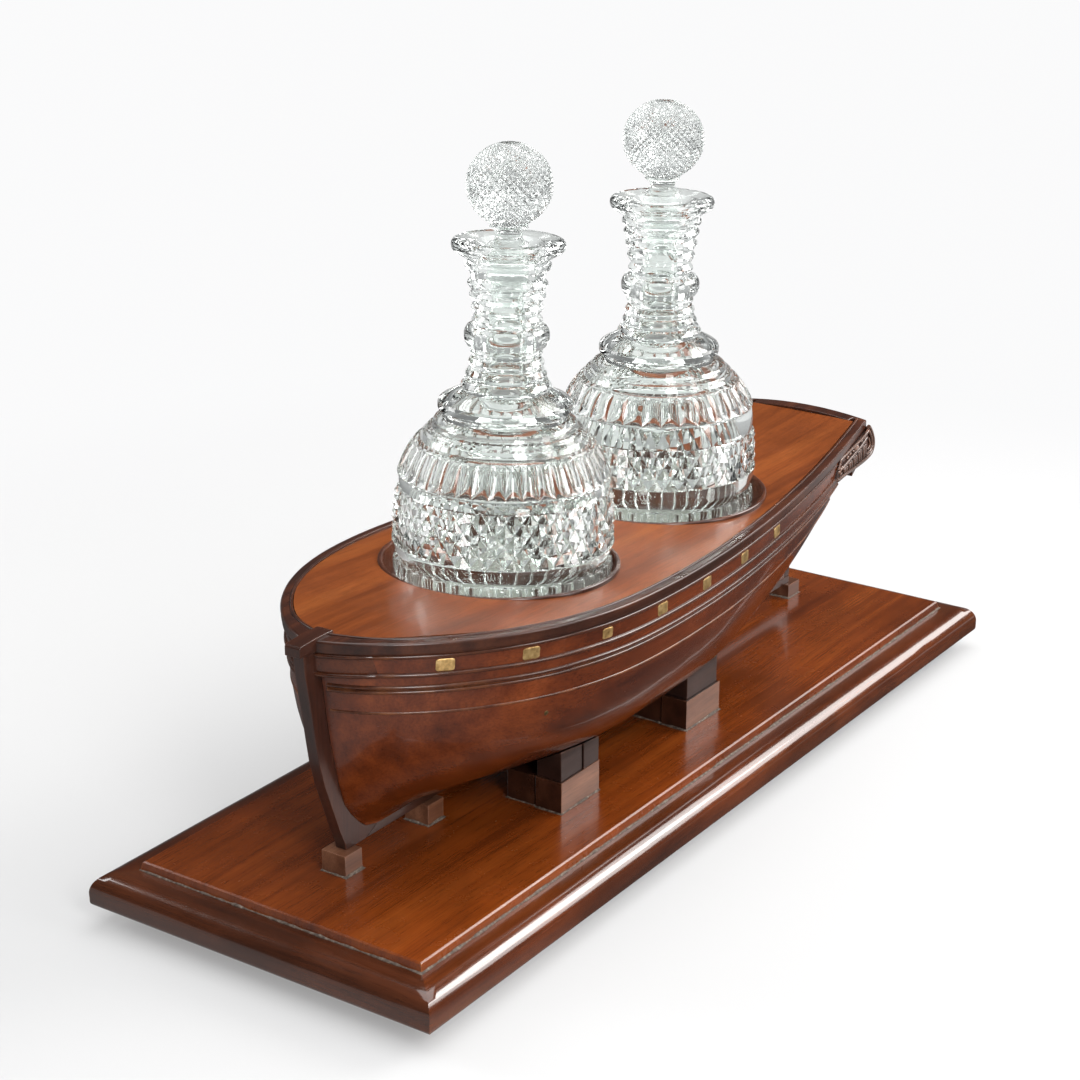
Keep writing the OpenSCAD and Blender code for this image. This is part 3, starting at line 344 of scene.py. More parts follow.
# ---------------------------------------------------------------- floor and light
def make_stage():
    me = bpy.data.meshes.new("floor")
    s = 5.0
    me.from_pydata([(-s, -s, 0), (s, -s, 0), (s, s, 0), (-s, s, 0)], [], [(0, 1, 2, 3)])
    ob = bpy.data.objects.new("floor", me)
    scene.collection.objects.link(ob)
    mat, t, b = new_material("floor")
    co = t.n("ShaderNodeTexCoord").outputs["Object"]
    t.put(b.inputs["Base Color"], t.mix(t.noise(co, 3.0), (0.345, 0.345, 0.346, 1), (0.352, 0.352, 0.353, 1)))
    b.inputs["Roughness"].default_value = 0.95
    b.inputs["Specular IOR Level"].default_value = 0.0
    b.inputs["Emission Color"].default_value = (1, 1, 1, 1)
    b.inputs["Emission Strength"].default_value = 0.30
    # the sweep goes over to an even white further out
    ln = t.n("ShaderNodeVectorMath", operation='LENGTH')
    t.put(ln.inputs[0], co)
    fade = t.n("ShaderNodeMapRange", interpolation_type='SMOOTHSTEP', ins={1: 0.38, 2: 0.90, 3: 0.0, 4: 1.0})
    t.put(fade.inputs[0], ln.outputs["Value"])
    em = t.n("ShaderNodeEmission", ins={"Color": (0.995, 0.995, 1.0, 1), "Strength": 0.965})
    mx = t.n("ShaderNodeMixShader")
    t.put(mx.inputs[0], fade.outputs[0])
    t.put(mx.inputs[1], b.outputs[0])
    t.put(mx.inputs[2], em.outputs[0])
    # what the polish mirrors: light at the two ends, the plinth's own shade alongside
    sx = t.n("ShaderNodeSeparateXYZ")
    t.put(sx.inputs[0], co)
    along = t.math('MULTIPLY', t.math('ADD', sx.outputs[0], 0.5), 1 / 1.5)
    dim = t.n("ShaderNodeEmission", ins={"Color": (1.0, 1.0, 1.0, 1)})
    t.put(dim.inputs["Strength"], t.ramp(along, [(0.10, 0.50), (0.23, 0.11), (0.60, 0.06), (0.665, 0.14), (0.735, 0.48), (0.80, 0.60)]))
    lp = t.n("ShaderNodeLightPath")
    m2 = t.n("ShaderNodeMixShader")
    t.put(m2.inputs[0], t.math('MULTIPLY', lp.outputs["Is Glossy Ray"], t.math('SUBTRACT', 1.0, lp.outputs["Is Transmission Ray"])))
    t.put(m2.inputs[1], mx.outputs[0])
    t.put(m2.inputs[2], dim.outputs[0])
    t.put(mat.node_tree.nodes["Material Output"].inputs[0], m2.outputs[0])
    me.materials.append(mat)

    w = bpy.data.worlds.new("world")
    scene.world = w
    w.use_nodes = True
    t = Tree(w.node_tree)
    bg = w.node_tree.nodes["Background"]
    lp = t.n("ShaderNodeLightPath")
    co = t.n("ShaderNodeTexCoord").outputs["Generated"]

    def lobe(d, a, b):
        """1 within a of the direction d, 0 outside b, in cosines."""
        dot = t.n("ShaderNodeVectorMath", operation='DOT_PRODUCT')
        t.put(dot.inputs[0], co)
        v = Vector(d).normalized()
        dot.inputs[1].default_value = v
        mr = t.n("ShaderNodeMapRange", interpolation_type='SMOOTHSTEP', ins={1: b, 2: a, 3: 0.0, 4: 1.0})
        t.put(mr.inputs[0], dot.outputs["Value"])
        return mr.outputs[0]
    rear = lobe((0.95, 0.10, -0.28), 0.97, 0.80)
    sep = t.n("ShaderNodeSeparateXYZ")
    t.put(sep.inputs[0], co)
    up = t.n("ShaderNodeMapRange", interpolation_type='SMOOTHSTEP', ins={1: -0.1, 2: 0.55, 3: 0.0, 4: 1.0})
    t.put(up.inputs[0], sep.outputs[2])
    gloss = t.math('ADD', t.math('MULTIPLY', rear, 0.35), 0.05)
    see = t.math('ADD', t.math('MULTIPLY', up.outputs[0], -0.38), 0.60)      # what is seen through the glass
    amb = 0.45
    f1 = t.math('ADD', t.math('MULTIPLY', lp.outputs["Is Transmission Ray"], t.math('SUBTRACT', see, amb)), amb)
    mirrored = t.math('MULTIPLY', lp.outputs["Is Glossy Ray"], t.math('SUBTRACT', 1.0, lp.outputs["Is Transmission Ray"]))
    s1 = t.math('ADD', f1, t.math('MULTIPLY', mirrored, t.math('SUBTRACT', gloss, f1)))
    s2 = t.math('ADD', s1, t.math('MULTIPLY', lp.outputs["Is Camera Ray"], t.math('SUBTRACT', 0.975, s1)))
    bg.inputs[0].default_value = (0.985, 0.99, 1.0, 1)
    t.put(bg.inputs[1], s2)

    def area(name, loc, at, size, power, col=(1, 1, 1), size_y=None, spread=180):
        li = bpy.data.lights.new(name, 'AREA')
        li.energy = power
        li.color = col
        li.shape = 'RECTANGLE'
        li.size = size
        li.size_y = size_y or size
        li.spread = radians(spread)
        o = bpy.data.objects.new(name, li)
        scene.collection.objects.link(o)
        o.location = loc
        o.rotation_euler = (Vector(at) - Vector(loc)).to_track_quat('-Z', 'Y').to_euler()
        o.visible_camera = False
        return o
    at = (0, 0, 0.15)

    def around(az, el, dist):
        a, e = radians(az), radians(el)
        return (dist * cos(e) * cos(a), dist * cos(e) * sin(a), 0.15 + dist * sin(e))
    area("top", (0.25, -0.15, 2.1), (0, 0, 0), 2.2, 37.0, size_y=1.8)
    area("key", around(-37, 34, 2.2), at, 0.7, 15.0, (1.0, 0.985, 0.96), size_y=0.8)
    area("gleam", around(-32, 28, 2.3), at, 1.5, 36.0, (1.0, 0.985, 0.965), size_y=1.25)
    area("right", around(-80, 20, 1.7), at, 0.45, 10.0, size_y=1.1)
    area("left", around(112, 26, 1.7), at, 0.45, 10.0, size_y=0.9)
    area("front", around(236, 30, 2.0), at, 0.5, 22.0, size_y=0.9)


# ---------------------------------------------------------------- lines of the hull, in millimetres
P = 35.5
BEAM, SHEER, RAIL_W, CAMBER = 95.0, 123.3, 6.8, 3.6
POST = 3.5
X_BOW, X_WIDE, X_END, X_POST = -260.0, -80.0, 264.0, 247.0


def clamp(v, a, b):
    return min(max(v, a), b)


def yb(x):
    if x < X_WIDE:
        return BEAM * max(1 - clamp((X_WIDE - x) / (X_WIDE - X_BOW), 0, 1) ** 2.2, 0) ** 0.715
    s = (x - X_WIDE) / 344
    return BEAM - (75 * s * s - 26 * s ** 3)


def sheer(x):
    return SHEER + (1.0e-4 if x < 140 else 3.3e-4) * (x - 140) ** 2


def keel_top(x):
    return 17.5 - 2.6 * clamp((x + 166) / 412, 0, 1)


def xa(z):
    return 237 + clamp(z - 15, 0, 200) * 0.11


RABBET = [(12, -190), (17.5, -212), (20, -221.5), (24, -226.4), (31, -232.8), (39, -238.3),
          (52, -242.4), (65, -245.3), (81, -248.6), (97, -251), (116, -253.2), (145, -256)]


def xf(z):
    if z <= RABBET[0][0]:
        return RABBET[0][1]
    for (a, xa_), (b, xb_) in zip(RABBET, RABBET[1:]):
        if z <= b:
            return xa_ + (xb_ - xa_) * (z - a) / (b - a)
    return RABBET[-1][1]


def plan_x(s):
    return -253.4 + s * (X_POST + 1 + 253.4) - 1.5 * (1 - s) - 3.6 * exp(-s / 0.02)


def hull_pt(s, t):
    xt = -256 + s * (X_POST + 256)
    zt = sheer(xt) - 7
    z = zt - (zt - keel_top(xt)) * t
    f = xf(z)
    x = f + s * (xa(z) - f)
    y0 = yb(plan_x(s)) - 2 - POST
    b = clamp(1 - s / 0.35, 0, 1) ** 1.5
    a = clamp((s - 0.535) / 0.465, 0, 1) ** 1.38
    p = 3.8 + 0.5 * b - 2.2 * a
    q = 0.66 + 0.8 * b + 1.06 * a
    ea = 0.981 - 0.043 * t
    r = clamp((s - ea) / (1 - ea), 0, 1)
    end = max(1 - r ** 2.5, 0) ** 0.67
    return (x, POST + max(y0, 0) * max(1 - t ** p, 0) ** q * end, z)


def side_pt(s, d):
    xt = -256 + s * (X_POST + 256)
    zt = sheer(xt) - 7
    return hull_pt(s, (d - 7) / (zt - keel_top(xt)))


def s_at(x, z):
    return (x - xf(z)) / (xa(z) - xf(z))


def rail_extra(x):
    return 4.2 * exp(-((x - X_BOW) / 13) ** 2)


def rail_dir(x):
    if x < X_BOW + 0.02:
        return (0, 1)
    e = min(0.4, (x - X_BOW) * 0.5)
    d = (2 * e, yb(x + e) - yb(x - e))
    n = hypot(*d)
    return (d[0] / n, d[1] / n)


def deck_half(x):
    best = 200.0
    for i in range(-46, 47):
        q = 0.25 * i
        w = RAIL_W + 0.3 + rail_extra(x + q)
        if x + q > X_BOW and abs(q) < w:
            best = min(best, yb(x + q) - sqrt(w * w - q * q))
    return best


def deck_z(x, y):
    return sheer(x) - 1.3 + CAMBER * (1 - clamp(abs(y) / 95, 0, 1) ** 2) * clamp(yb(x) / 60, 0, 1)


# ---------------------------------------------------------------- mesh helpers
def add_object(name, verts, faces, mats, body, nodes=(), sharp=None, scale=MM, per_face=None, smooth=True):
    me = bpy.data.meshes.new(name)
    me.from_pydata([(v[0] * scale, v[1] * scale, v[2] * scale) for v in verts], [], faces)
    me.update()
    bm = bmesh.new()
    bm.from_mesh(me)
    bmesh.ops.remove_doubles(bm, verts=bm.verts, dist=2e-6)
    bmesh.ops.dissolve_degenerate(bm, dist=1e-7, edges=bm.edges)
    bmesh.ops.recalc_face_normals(bm, faces=bm.faces)
    for f in bm.faces:
        f.smooth = smooth
    if sharp is not None:
        lim = radians(sharp)
        for e in bm.edges:
            if len(e.link_faces) == 2 and e.calc_face_angle(0) > lim:
                e.smooth = False
    bm.to_mesh(me)
    bm.free()
    for m in (mats if isinstance(mats, (list, tuple)) else [mats]):
        me.materials.append(m)
    ob = bpy.data.objects.new(name, me)
    scene.collection.objects.link(ob)
    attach(ob, body)
    if nodes:
        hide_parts(*nodes)
    if per_face:
        for f in me.polygons:
            f.material_index = per_face(f.center / scale, f.normal)
    return ob


def grid(rows, wrap_u=False, wrap_v=False):
    """Vertices and faces of a grid; a row is a list of points."""
    m = len(rows[0])
    verts = [p for r in rows for p in r]
    faces = []
    n = len(rows)
    for i in range(n if wrap_v else n - 1):
        for j in range(m if wrap_u else m - 1):
            a, b = i * m + j, i * m + (j + 1) % m
            c, d = ((i + 1) % n) * m + (j + 1) % m, ((i + 1) % n) * m + j
            faces.append((a, b, c, d))
    return verts, faces


def tube(rows, cap=True):
    v, f = grid(rows, wrap_u=True)
    m = len(rows[0])
    if cap:
        f.append(tuple(range(m))[::-1])
        f.append(tuple((len(rows) - 1) * m + k for k in range(m)))
    return v, f


def mirror_y(v):
    return [(a, -b, c) for a, b, c in v]


def lerp_table(tab, z):
    if z <= tab[0][0]:
        return tab[0][1]
    for (a, ra), (b, rb) in zip(tab, tab[1:]):
        if z <= b:
            return ra + (rb - ra) * (z - a) / (b - a) if b > a else rb
    return tab[-1][1]


def rounded_copy(node, mat, body="stand", width=0.5, segs=2, angle=30, jitter=0.0, name=None, per_face=None, mats=None):
    """A copy of a construction piece with its arrises taken off, as worn wood has."""
    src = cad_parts[node]
    me = src.data.copy()
    me.materials.clear()
    bm = bmesh.new()
    bm.from_mesh(me)
    bmesh.ops.remove_doubles(bm, verts=bm.verts, dist=2e-6)
    bmesh.ops.dissolve_limit(bm, angle_limit=radians(1.0), verts=bm.verts, edges=bm.edges)
    es = [e for e in bm.edges if len(e.link_faces) == 2 and e.calc_face_angle(0) > radians(angle)]
    if width > 0:
        bmesh.ops.bevel(bm, geom=es, offset=width * MM, offset_type='OFFSET', segments=segs, profile=0.5, affect='EDGES', clamp_overlap=True)
    bmesh.ops.triangulate(bm, faces=[f for f in bm.faces if len(f.verts) > 4])
    for f in bm.faces:
        f.smooth = True
    for e in bm.edges:
        if len(e.link_faces) == 2 and e.calc_face_angle(0) > radians(40):
            e.smooth = False
    if jitter:
        for v in bm.verts:
            v.co += noise.noise_vector(v.co * 90.0) * jitter * MM
    bm.to_mesh(me)
    bm.free()
    ob = bpy.data.objects.new(name or ("worked_" + node), me)
    for m_ in (mats or [mat]):
        me.materials.append(m_)
    scene.collection.objects.link(ob)
    if per_face:
        for f in me.polygons:
            f.material_index = per_face(f.center / MM, f.normal)
    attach(ob, body)
    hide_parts(node)
    wn = ob.modifiers.new("weighted", 'WEIGHTED_NORMAL')
    wn.keep_sharp = True
    return ob


# ---------------------------------------------------------------- plinth
L2, W2 = 312.5, 114.0
BASE_Z, BOARD_T, OVOLO = 12.0, 18.5, 11.5


def rect_ring(half_l, half_w, z, nl=84, nw=34):
    pts = []
    for i in range(nl):
        pts.append((-half_l + 2 * half_l * i / nl, -half_w, z))
    for i in range(nw):
        pts.append((half_l, -half_w + 2 * half_w * i / nw, z))
    for i in range(nl):
        pts.append((half_l - 2 * half_l * i / nl, half_w, z))
    for i in range(nw):
        pts.append((-half_l, half_w - 2 * half_w * i / nw, z))
    return pts


def make_plinth():
    top = BASE_Z + BOARD_T
    prof = [(30.0, top - 1.0), (24.0, top), (18.0, top), (14.5, top), (12.6, top)]
    for k in range(0, 15):
        a = radians(90 * k / 14)
        prof.append((OVOLO - OVOLO * sin(a), top - OVOLO + OVOLO * cos(a)))
    prof += [(0.0, 16.6), (0.0, 14.6)]
    for k in range(1, 6):
        a = radians(90 * k / 5)
        prof.append((2.2 - 2.2 * cos(a), 14.2 - 2.2 * sin(a)))
    prof += [(30.0, BASE_Z), (60.0, BASE_Z)]
    rows = []
    for inset, z in prof:
        row = []
        for x, y, zz in rect_ring(L2 - inset, W2 - inset, z):
            if inset < 13 and z > 12.5:
                n = noise.noise(Vector((x * 0.035, y * 0.035, z * 0.05)))
                m = noise.noise(Vector((x * 0.11 + 9, y * 0.11, z * 0.16)))
                d = 0.12 * n + 0.16 * max(0.0, m - 0.25)
                # bruised near corner and two knocks on the long edge
                for cx, cy, cz, rr, dd in ((-311, -112, 17, 7, 1.5), (-303, -114, 14, 4, 0.9), (-312, -103, 22, 4, 0.5), (238, -113, 23, 6, 0.5), (180, -113.5, 19, 4, 0.45), (-40, -113.5, 16, 5, 0.4), (311, 112, 18, 5, 0.8)):
                    q = sqrt((x - cx) ** 2 + (y - cy) ** 2 + (z - cz) ** 2) / rr
                    if q < 1:
                        d += dd * (1 - q * q) ** 2
                l = hypot(x / L2, y / W2)
                ex = 1 if abs(x) > L2 - inset - 0.01 else 0
                ey = 1 if abs(y) > W2 - inset - 0.01 else 0
                x -= math.copysign(d, x) * ex
                y -= math.copysign(d, y) * ey
                zz -= d * 0.4 * (1 if z > 20 else -0.3)
            row.append((x, y, zz))
        rows.append(row)
    v, f = grid(rows, wrap_u=True)
    m = len(rows[0])
    f.append(tuple(range(m))[::-1])
    f.append(tuple((len(rows) - 1) * m + k for k in range(m)))

    def which(c, n):
        return 1 if abs(c[0]) - (L2 - W2) > abs(c[1]) and abs(c[0]) > L2 - 21.5 else 0
    add_object("moulded_board", v, f, [M["board"], M["board_end"]], "stand", ["plinth_board"], sharp=50, per_face=which)
    rounded_copy("plinth_panel", M["panel"], width=0.55, segs=3, angle=15, name="raised_panel")
    # polish caked round the foot of the panel
    wax_line([(-L2 + 19.6, -W2 + 19.6), (L2 - 19.6, -W2 + 19.6), (L2 - 19.6, W2 - 19.6), (-L2 + 19.6, W2 - 19.6)], top, 1.1, "panel_wax", out=True)
    for sx in (-1, 1):
        for sy in (-1, 1):
            nm = "foot_%s_%s" % ("bow" if sx < 0 else "stern", "port" if sy < 0 else "starboard")
            cx, cy = sx * (L2 - 43), sy * (W2 - 32)
            prof = [(0, 0), (13, 0), (14.8, 0.25), (16.6, 1.0), (18.6, 2.6), (20.2, 4.4), (20.9, 6.0), (20.2, 7.9), (18.4, 9.8), (16.2, 11.2), (15.2, 11.6), (15.0, 12), (0, 12)]
            lathe("bun_" + nm, smooth_profile(prof, 3), 64, (cx, cy, 0), M["foot"], "stand", [nm])


def wax_line(corners, z, size, name, out=True):
    """A thin uneven fillet round a rectangle, lying on the surface at z."""
    pts = []
    n = len(corners)
    for i in range(n):
        a, b = corners[i], corners[(i + 1) % n]
        ln = hypot(b[0] - a[0], b[1] - a[1])
        k = max(4, int(ln / 3.0))
        for j in range(k):
            pts.append((a[0] + (b[0] - a[0]) * j / k, a[1] + (b[1] - a[1]) * j / k))
    cx = sum(p[0] for p in corners) / n
    cy = sum(p[1] for p in corners) / n
    hx = max(abs(p[0] - cx) for p in corners)
    hy = max(abs(p[1] - cy) for p in corners)
    rows = []
    for x, y in pts:
        r = 0.45 + 0.85 * max(0.0, noise.noise(Vector((x * 0.17, y * 0.17, z + size))) + 0.35)
        s = size * min(r, 1.3)
        dx = math.copysign(1, x - cx) if abs(abs(x - cx) - hx) < 0.01 else 0
        dy = math.copysign(1, y - cy) if abs(abs(y - cy) - hy) < 0.01 else 0
        rows.append([(x - dx * 0.3, y - dy * 0.3, z - 0.2), (x + dx * s, y + dy * s, z - 0.05), (x + dx * s * 0.45, y + dy * s * 0.45, z + s * 0.35),
                     (x - dx * 0.05, y - dy * 0.05, z + s * 0.9), (x - dx * 0.4, y - dy * 0.4, z + s * 0.8)])
    v, f = grid(rows, wrap_u=True, wrap_v=True)
    add_object(name, v, f, M["wax"], "stand")


def smooth_profile(p, k):
    """Points along a smooth curve through p."""
    out = []
    n = len(p)
    for i in range(n - 1):
        p0, p1, p2, p3 = p[max(i - 1, 0)], p[i], p[i + 1], p[min(i + 2, n - 1)]
        for j in range(k):
            t = j / k
            out.append(tuple(0.5 * (2 * b + (c - a) * t + (2 * a - 5 * b + 4 * c - d) * t * t + (3 * b - a - 3 * c + d) * t ** 3)
                             for a, b, c, d in zip(p0, p1, p2, p3)))
    out.append(p[-1])
    return [(max(r, 0.0), z) for r, z in out]


def lathe(name, prof, seg, origin, mat, body, nodes, sharp=32, place=None):
    rows = []
    for r, z in prof:
        rows.append([(r * cos(2 * pi * j / seg), r * sin(2 * pi * j / seg), z) for j in range(seg)])
    if place:
        rows = [[place(*p) for p in row] for row in rows]
    else:
        rows = [[(p[0] + origin[0], p[1] + origin[1], p[2] + origin[2]) for p in row] for row in rows]
    v, f = grid(rows, wrap_u=True)
    if prof[0][0] > 1e-6:
        f.append(tuple(range(seg))[::-1])
    if prof[-1][0] > 1e-6:
        f.append(tuple((len(rows) - 1) * seg + k for k in range(seg)))
    return add_object(name, v, f, mat, body, nodes, sharp=sharp)


# ---------------------------------------------------------------- blocks and chocks
def make_blocks():
    for n in ("keel_block_bow", "keel_block_fore", "keel_block_stern"):
        rounded_copy(n, M["block"] if n != "keel_block_bow" else M["block"], width=0.6, segs=2, jitter=0.12)
        lo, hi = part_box(n)
        x0, y0, x1, y1 = lo.x / MM, lo.y / MM, hi.x / MM, hi.y / MM
        wax_line([(x0, y0), (x1, y0), (x1, y1), (x0, y1)], P, 1.3, n + "_wax")
    for s in ("port", "starboard"):
        for e in ("bow", "stern"):
            for part in ("base", "inner"):
                n = "%s_chock_%s_%s" % (e, part, s)
                # painted light: the faces of the base that look to port and starboard take the lighter block colour,
                # the rest the darker chock colour
                def face(c, nn, part=part):
                    return 0 if part == "base" and abs(nn[1]) > 0.7 else 1
                rounded_copy(n, None, width=0.6, segs=2, jitter=0.12, mats=[M["block"], M["chock"]], per_face=face)
                lo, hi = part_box(n)
                x0, y0, x1, y1 = lo.x / MM, lo.y / MM, hi.x / MM, hi.y / MM
                wax_line([(x0, y0), (x1, y0), (x1, y1), (x0, y1)], P, 1.2, n + "_wax")
        rounded_copy("bow_chock_caps_" + s, M["cap"], width=0.5, segs=2, jitter=0.1)
        rounded_copy("stern_chock_cap_" + s, M["cap"], width=0.5, segs=2, jitter=0.1)
    rounded_copy("keel", M["keel"], width=0.5)
    rounded_copy("stem_post", M["stem"], width=0.8, segs=3, jitter=0.1)
    rounded_copy("stern_post", M["stem"], width=0.6, segs=2)
    rounded_copy("stem_head", M["rail"], width=0.9, segs=3, jitter=0.15)
    rounded_copy("counter_block", M["stem"], width=0.6)
    rounded_copy("stern_board", M["stem"], width=0.7, segs=3, angle=25)
    rounded_copy("taffrail", M["rail"], width=0.8, segs=3, angle=25)


# ---------------------------------------------------------------- hull, rails, mouldings
def wobble(p, amp, f=0.016):
    """Slow unevenness that a hand-carved and polished surface has."""
    n = noise.noise(Vector((p[0] * f, abs(p[1]) * f * 2.2, p[2] * f * 2.2)))
    m = noise.noise(Vector((p[0] * f * 3.1 + 7, abs(p[1]) * f * 5, p[2] * f * 5)))
    return amp * (n + 0.35 * m)


def make_hull():
    ns, nt, nin = 220, 60, 16

    def stn(i):
        u = i / ns
        if u < 0.28:
            return 0.16 * (u / 0.28) ** 1.6
        if u < 0.80:
            return 0.16 + (u - 0.28) / 0.52 * 0.70
        return 0.86 + 0.14 * (1 - (1 - (u - 0.80) / 0.20) ** 1.5)

    def tt(u):
        return 0.25 * u + 0.75 * sin(pi / 2 * u)
    rows = []
    for i in range(ns + 1):
        s = stn(i)
        row = []
        for j in range(nt + 1):
            o = hull_pt(s, tt(j / nt))
            w = wobble(o, 0.28) * clamp((o[1] - POST) / 12, 0, 1) * clamp(j / 8, 0, 1)
            row.append((o[0], o[1] + w, o[2]))
        o = hull_pt(s, 1)
        row.append((o[0], 0, o[2]))
        k = clamp(min(s / 0.05, (1 - s) / 0.045), 0, 1)
        q = []
        for j in range(nin + 1):
            t = tt(j / nin)
            o = hull_pt(s, t)
            q.append((o[0], max(0, (o[1] - 9 * (1 - t * t * 0.75) - 2) * k), min(o[2] + 10 * t * t, sheer(o[0]) - 7)))
        row.append((q[-1][0], 0, max(q[-1][2], keel_top(q[-1][0]) + 8)))
        row += q[::-1]
        rows.append([(a, b, c + P) for a, b, c in row])
    v, f = tube(rows)
    for port in (True, False):
        vv = mirror_y(v) if port else v
        add_object("planked_hull_" + ("port" if port else "starboard"), vv, f, M["hull"], "stand",
                   ["hull_" + ("port" if port else "starboard")], sharp=38)


def side_frame(s, d):
    a, b, o = side_pt(max(s - 0.003, 0), d), side_pt(min(s + 0.003, 1), d), side_pt(s, d)
    v = (b[0] - a[0], b[1] - a[1])
    n = hypot(*v)
    return o, (-v[1] / n, v[0] / n)


def make_mouldings():
    def arc(cz, r, k=8, flat=1.0):
        return [(r * flat * cos(a), cz + r * sin(a)) for a in [pi / 2 - pi * i / k for i in range(k + 1)]]
    half_round = [(-0.6, 1.25)] + arc(0, 1.2, 8, 1.15) + [(-0.6, -1.25)]
    double = [(-0.6, 3.1)] + arc(1.75, 1.15, 7, 1.0) + [(0.18, 0.42)] + arc(-0.95, 1.0, 7, 0.95) + [(-0.6, -2.1)]
    thin = [(-0.6, 0.9)] + arc(0.05, 0.75, 6, 0.75) + [(-0.6, -0.8)]
    for nm, d, prof, s1 in (("sheer_bead", 8.2, half_round, 0.905), ("plate_bead", 18.6, half_round, 0.905),
                            ("wale_bead", 27.4, double, 0.945), ("strake", 40.5, thin, 0.95)):
        rows = []
        n = 190
        for i in range(n + 1):
            u = i / n
            s = 0.0015 + 0.15 * (u / 0.28) ** 1.6 if u < 0.28 else 0.1515 + (s1 - 0.1515) * (u - 0.28) / 0.72
            o, nn = side_frame(s, d)
            h = 0.12 * noise.noise(Vector((o[0] * 0.03, d, 0)))
            rows.append([(o[0] + nn[0] * p[0], o[1] + nn[1] * p[0], o[2] + p[1] + h + P) for p in prof])
        v, f = tube(rows)
        for port in (True, False):
            sd = "port" if port else "starboard"
            add_object("turned_" + nm + "_" + sd, mirror_y(v) if port else v, f, M["bead"], "stand",
                       [nm + "_" + sd], sharp=40)


def make_rails():
    nb, na = 90, 130
    w = RAIL_W
    # outer face with a shadow line, rounded outer arris, nearly flat top, bead on the inner edge
    prof = [(0.9, -6.9), (0.35, -6.0), (0.22, -5.0), (0.2, -3.0), (0.12, -2.2), (0.0, -1.5), (0.04, -1.0), (0.22, -0.62), (0.50, -0.34), (0.85, -0.12),
            (1.25, 0.0), (1.7, 0.06), (3.0, 0.16), (w - 2.3, 0.26), (w - 2.0, 0.10), (w - 1.85, -0.12), (w - 1.72, 0.12)]
    prof += [(w - 0.85 + 0.88 * cos(radians(a)), 0.02 + 0.80 * sin(radians(a))) for a in range(165, -16, -18)]
    prof += [(w + 0.12, -0.6), (w + 0.2, -1.0), (w + 0.2, -4.0), (w + 0.2, -6.9)]
    rows = []
    for i in range(nb + na + 1):
        x = X_WIDE - (X_WIDE - X_BOW) * cos(pi / 2 * i / nb) if i <= nb else X_WIDE + (X_END - X_WIDE) * (i - nb) / na
        d = rail_dir(x)
        n = (d[1], -d[0])
        e = rail_extra(x)
        h = 0.16 * noise.noise(Vector((x * 0.02, 3, 1))) + 0.07 * noise.noise(Vector((x * 0.09, 5, 1)))
        rows.append([(x + n[0] * (k + (e if k > 2.5 else 0)), max(0, yb(x) + n[1] * (k + (e if k > 2.5 else 0))), sheer(x) + z + h * (1 if z > -2 else 0) + P) for k, z in prof])
    v, f = tube(rows)
    for port in (True, False):
        sd = "port" if port else "starboard"
        ob = add_object("moulded_rail_" + sd, mirror_y(v) if port else v, f, M["rail"], "stand", ["cap_rail_" + sd], sharp=45)


def make_deck():
    nx, ny = 200, 28
    x0, x1 = -246.5, 256.6
    rows = []
    for i in range(nx + 1):
        u = i / nx
        x = x0 + 66 * (u / 0.3) ** 1.8 if u < 0.3 else x0 + 66 + (x1 - x0 - 66) * (u - 0.3) / 0.7
        h = max(deck_half(x), 3)
        row = [(x, h * (2 * k / ny - 1), deck_z(x, h * (2 * k / ny - 1)) + 0.07 * noise.noise(Vector((x * 0.025, h * (2 * k / ny - 1) * 0.03, 0))) + P) for k in range(ny + 1)]
        row += [(x, h, sheer(x) - 6.9 + P), (x, -h, sheer(x) - 6.9 + P)]
        rows.append(row)
    v, f = tube(rows)
    deck = add_object("laid_deck", v, f, M["deck"], "stand", ["deck"], sharp=35)
    for x, lean in ((-93.2, 2.3), (72.6, 0.5)):
        cyl = bmesh.new()
        bmesh.ops.create_cone(cyl, cap_ends=True, segments=192, radius1=68.06 * MM, radius2=68.06 * MM, depth=60 * MM)
        me = bpy.data.meshes.new("cutter")
        cyl.to_mesh(me)
        cyl.free()
        co = bpy.data.objects.new("cutter", me)
        scene.collection.objects.link(co)
        co.matrix_world = Matrix.Translation((x * MM, 0, (deck_z(x, 0) + 0.3 + P) * MM)) @ Matrix.Rotation(radians(lean), 4, 'Y')
        bpy.context.view_layer.update()
        mod = deck.modifiers.new("well", 'BOOLEAN')
        mod.operation = 'DIFFERENCE'
        mod.solver = 'EXACT'
        mod.object = co
        bpy.context.view_layer.update()
        dg = bpy.context.evaluated_depsgraph_get()
        new = bpy.data.meshes.new_from_object(deck.evaluated_get(dg))
        deck.modifiers.clear()
        old = deck.data
        deck.data = new
        bpy.data.meshes.remove(old)
        bpy.data.objects.remove(co)
        bpy.data.meshes.remove(me)
    bm = bmesh.new()
    bm.from_mesh(deck.data)
    for fa in bm.faces:
        fa.smooth = True
    for e in bm.edges:
        e.smooth = not (len(e.link_faces) == 2 and e.calc_face_angle(0) > radians(35))
    bm.to_mesh(deck.data)
    bm.free()


# ---------------------------------------------------------------- wells, and where the glass stands
WELLS = {"fore": (-93.2, 2.3, (1.1, -1.6)), "aft": (72.6, 0.5, (0.0, 0.0))}
WELL_D, RIM_R, WELL_R = 36.6, 68.0, 65.3


def well_at(which, x, y, z):
    """From the frame of a well, with its origin in the middle of the rim, to the object's frame."""
    x0, lean, _ = WELLS[which]
    a = radians(lean)
    return (x0 + x * cos(a) + z * sin(a), y, P + deck_z(x0, 0) + 0.3 - x * sin(a) + z * cos(a))


def glass_at(which):
    off = WELLS[which][2]
    return lambda x, y, z: well_at(which, x + off[0], y + off[1], z - WELL_D + 1.6)


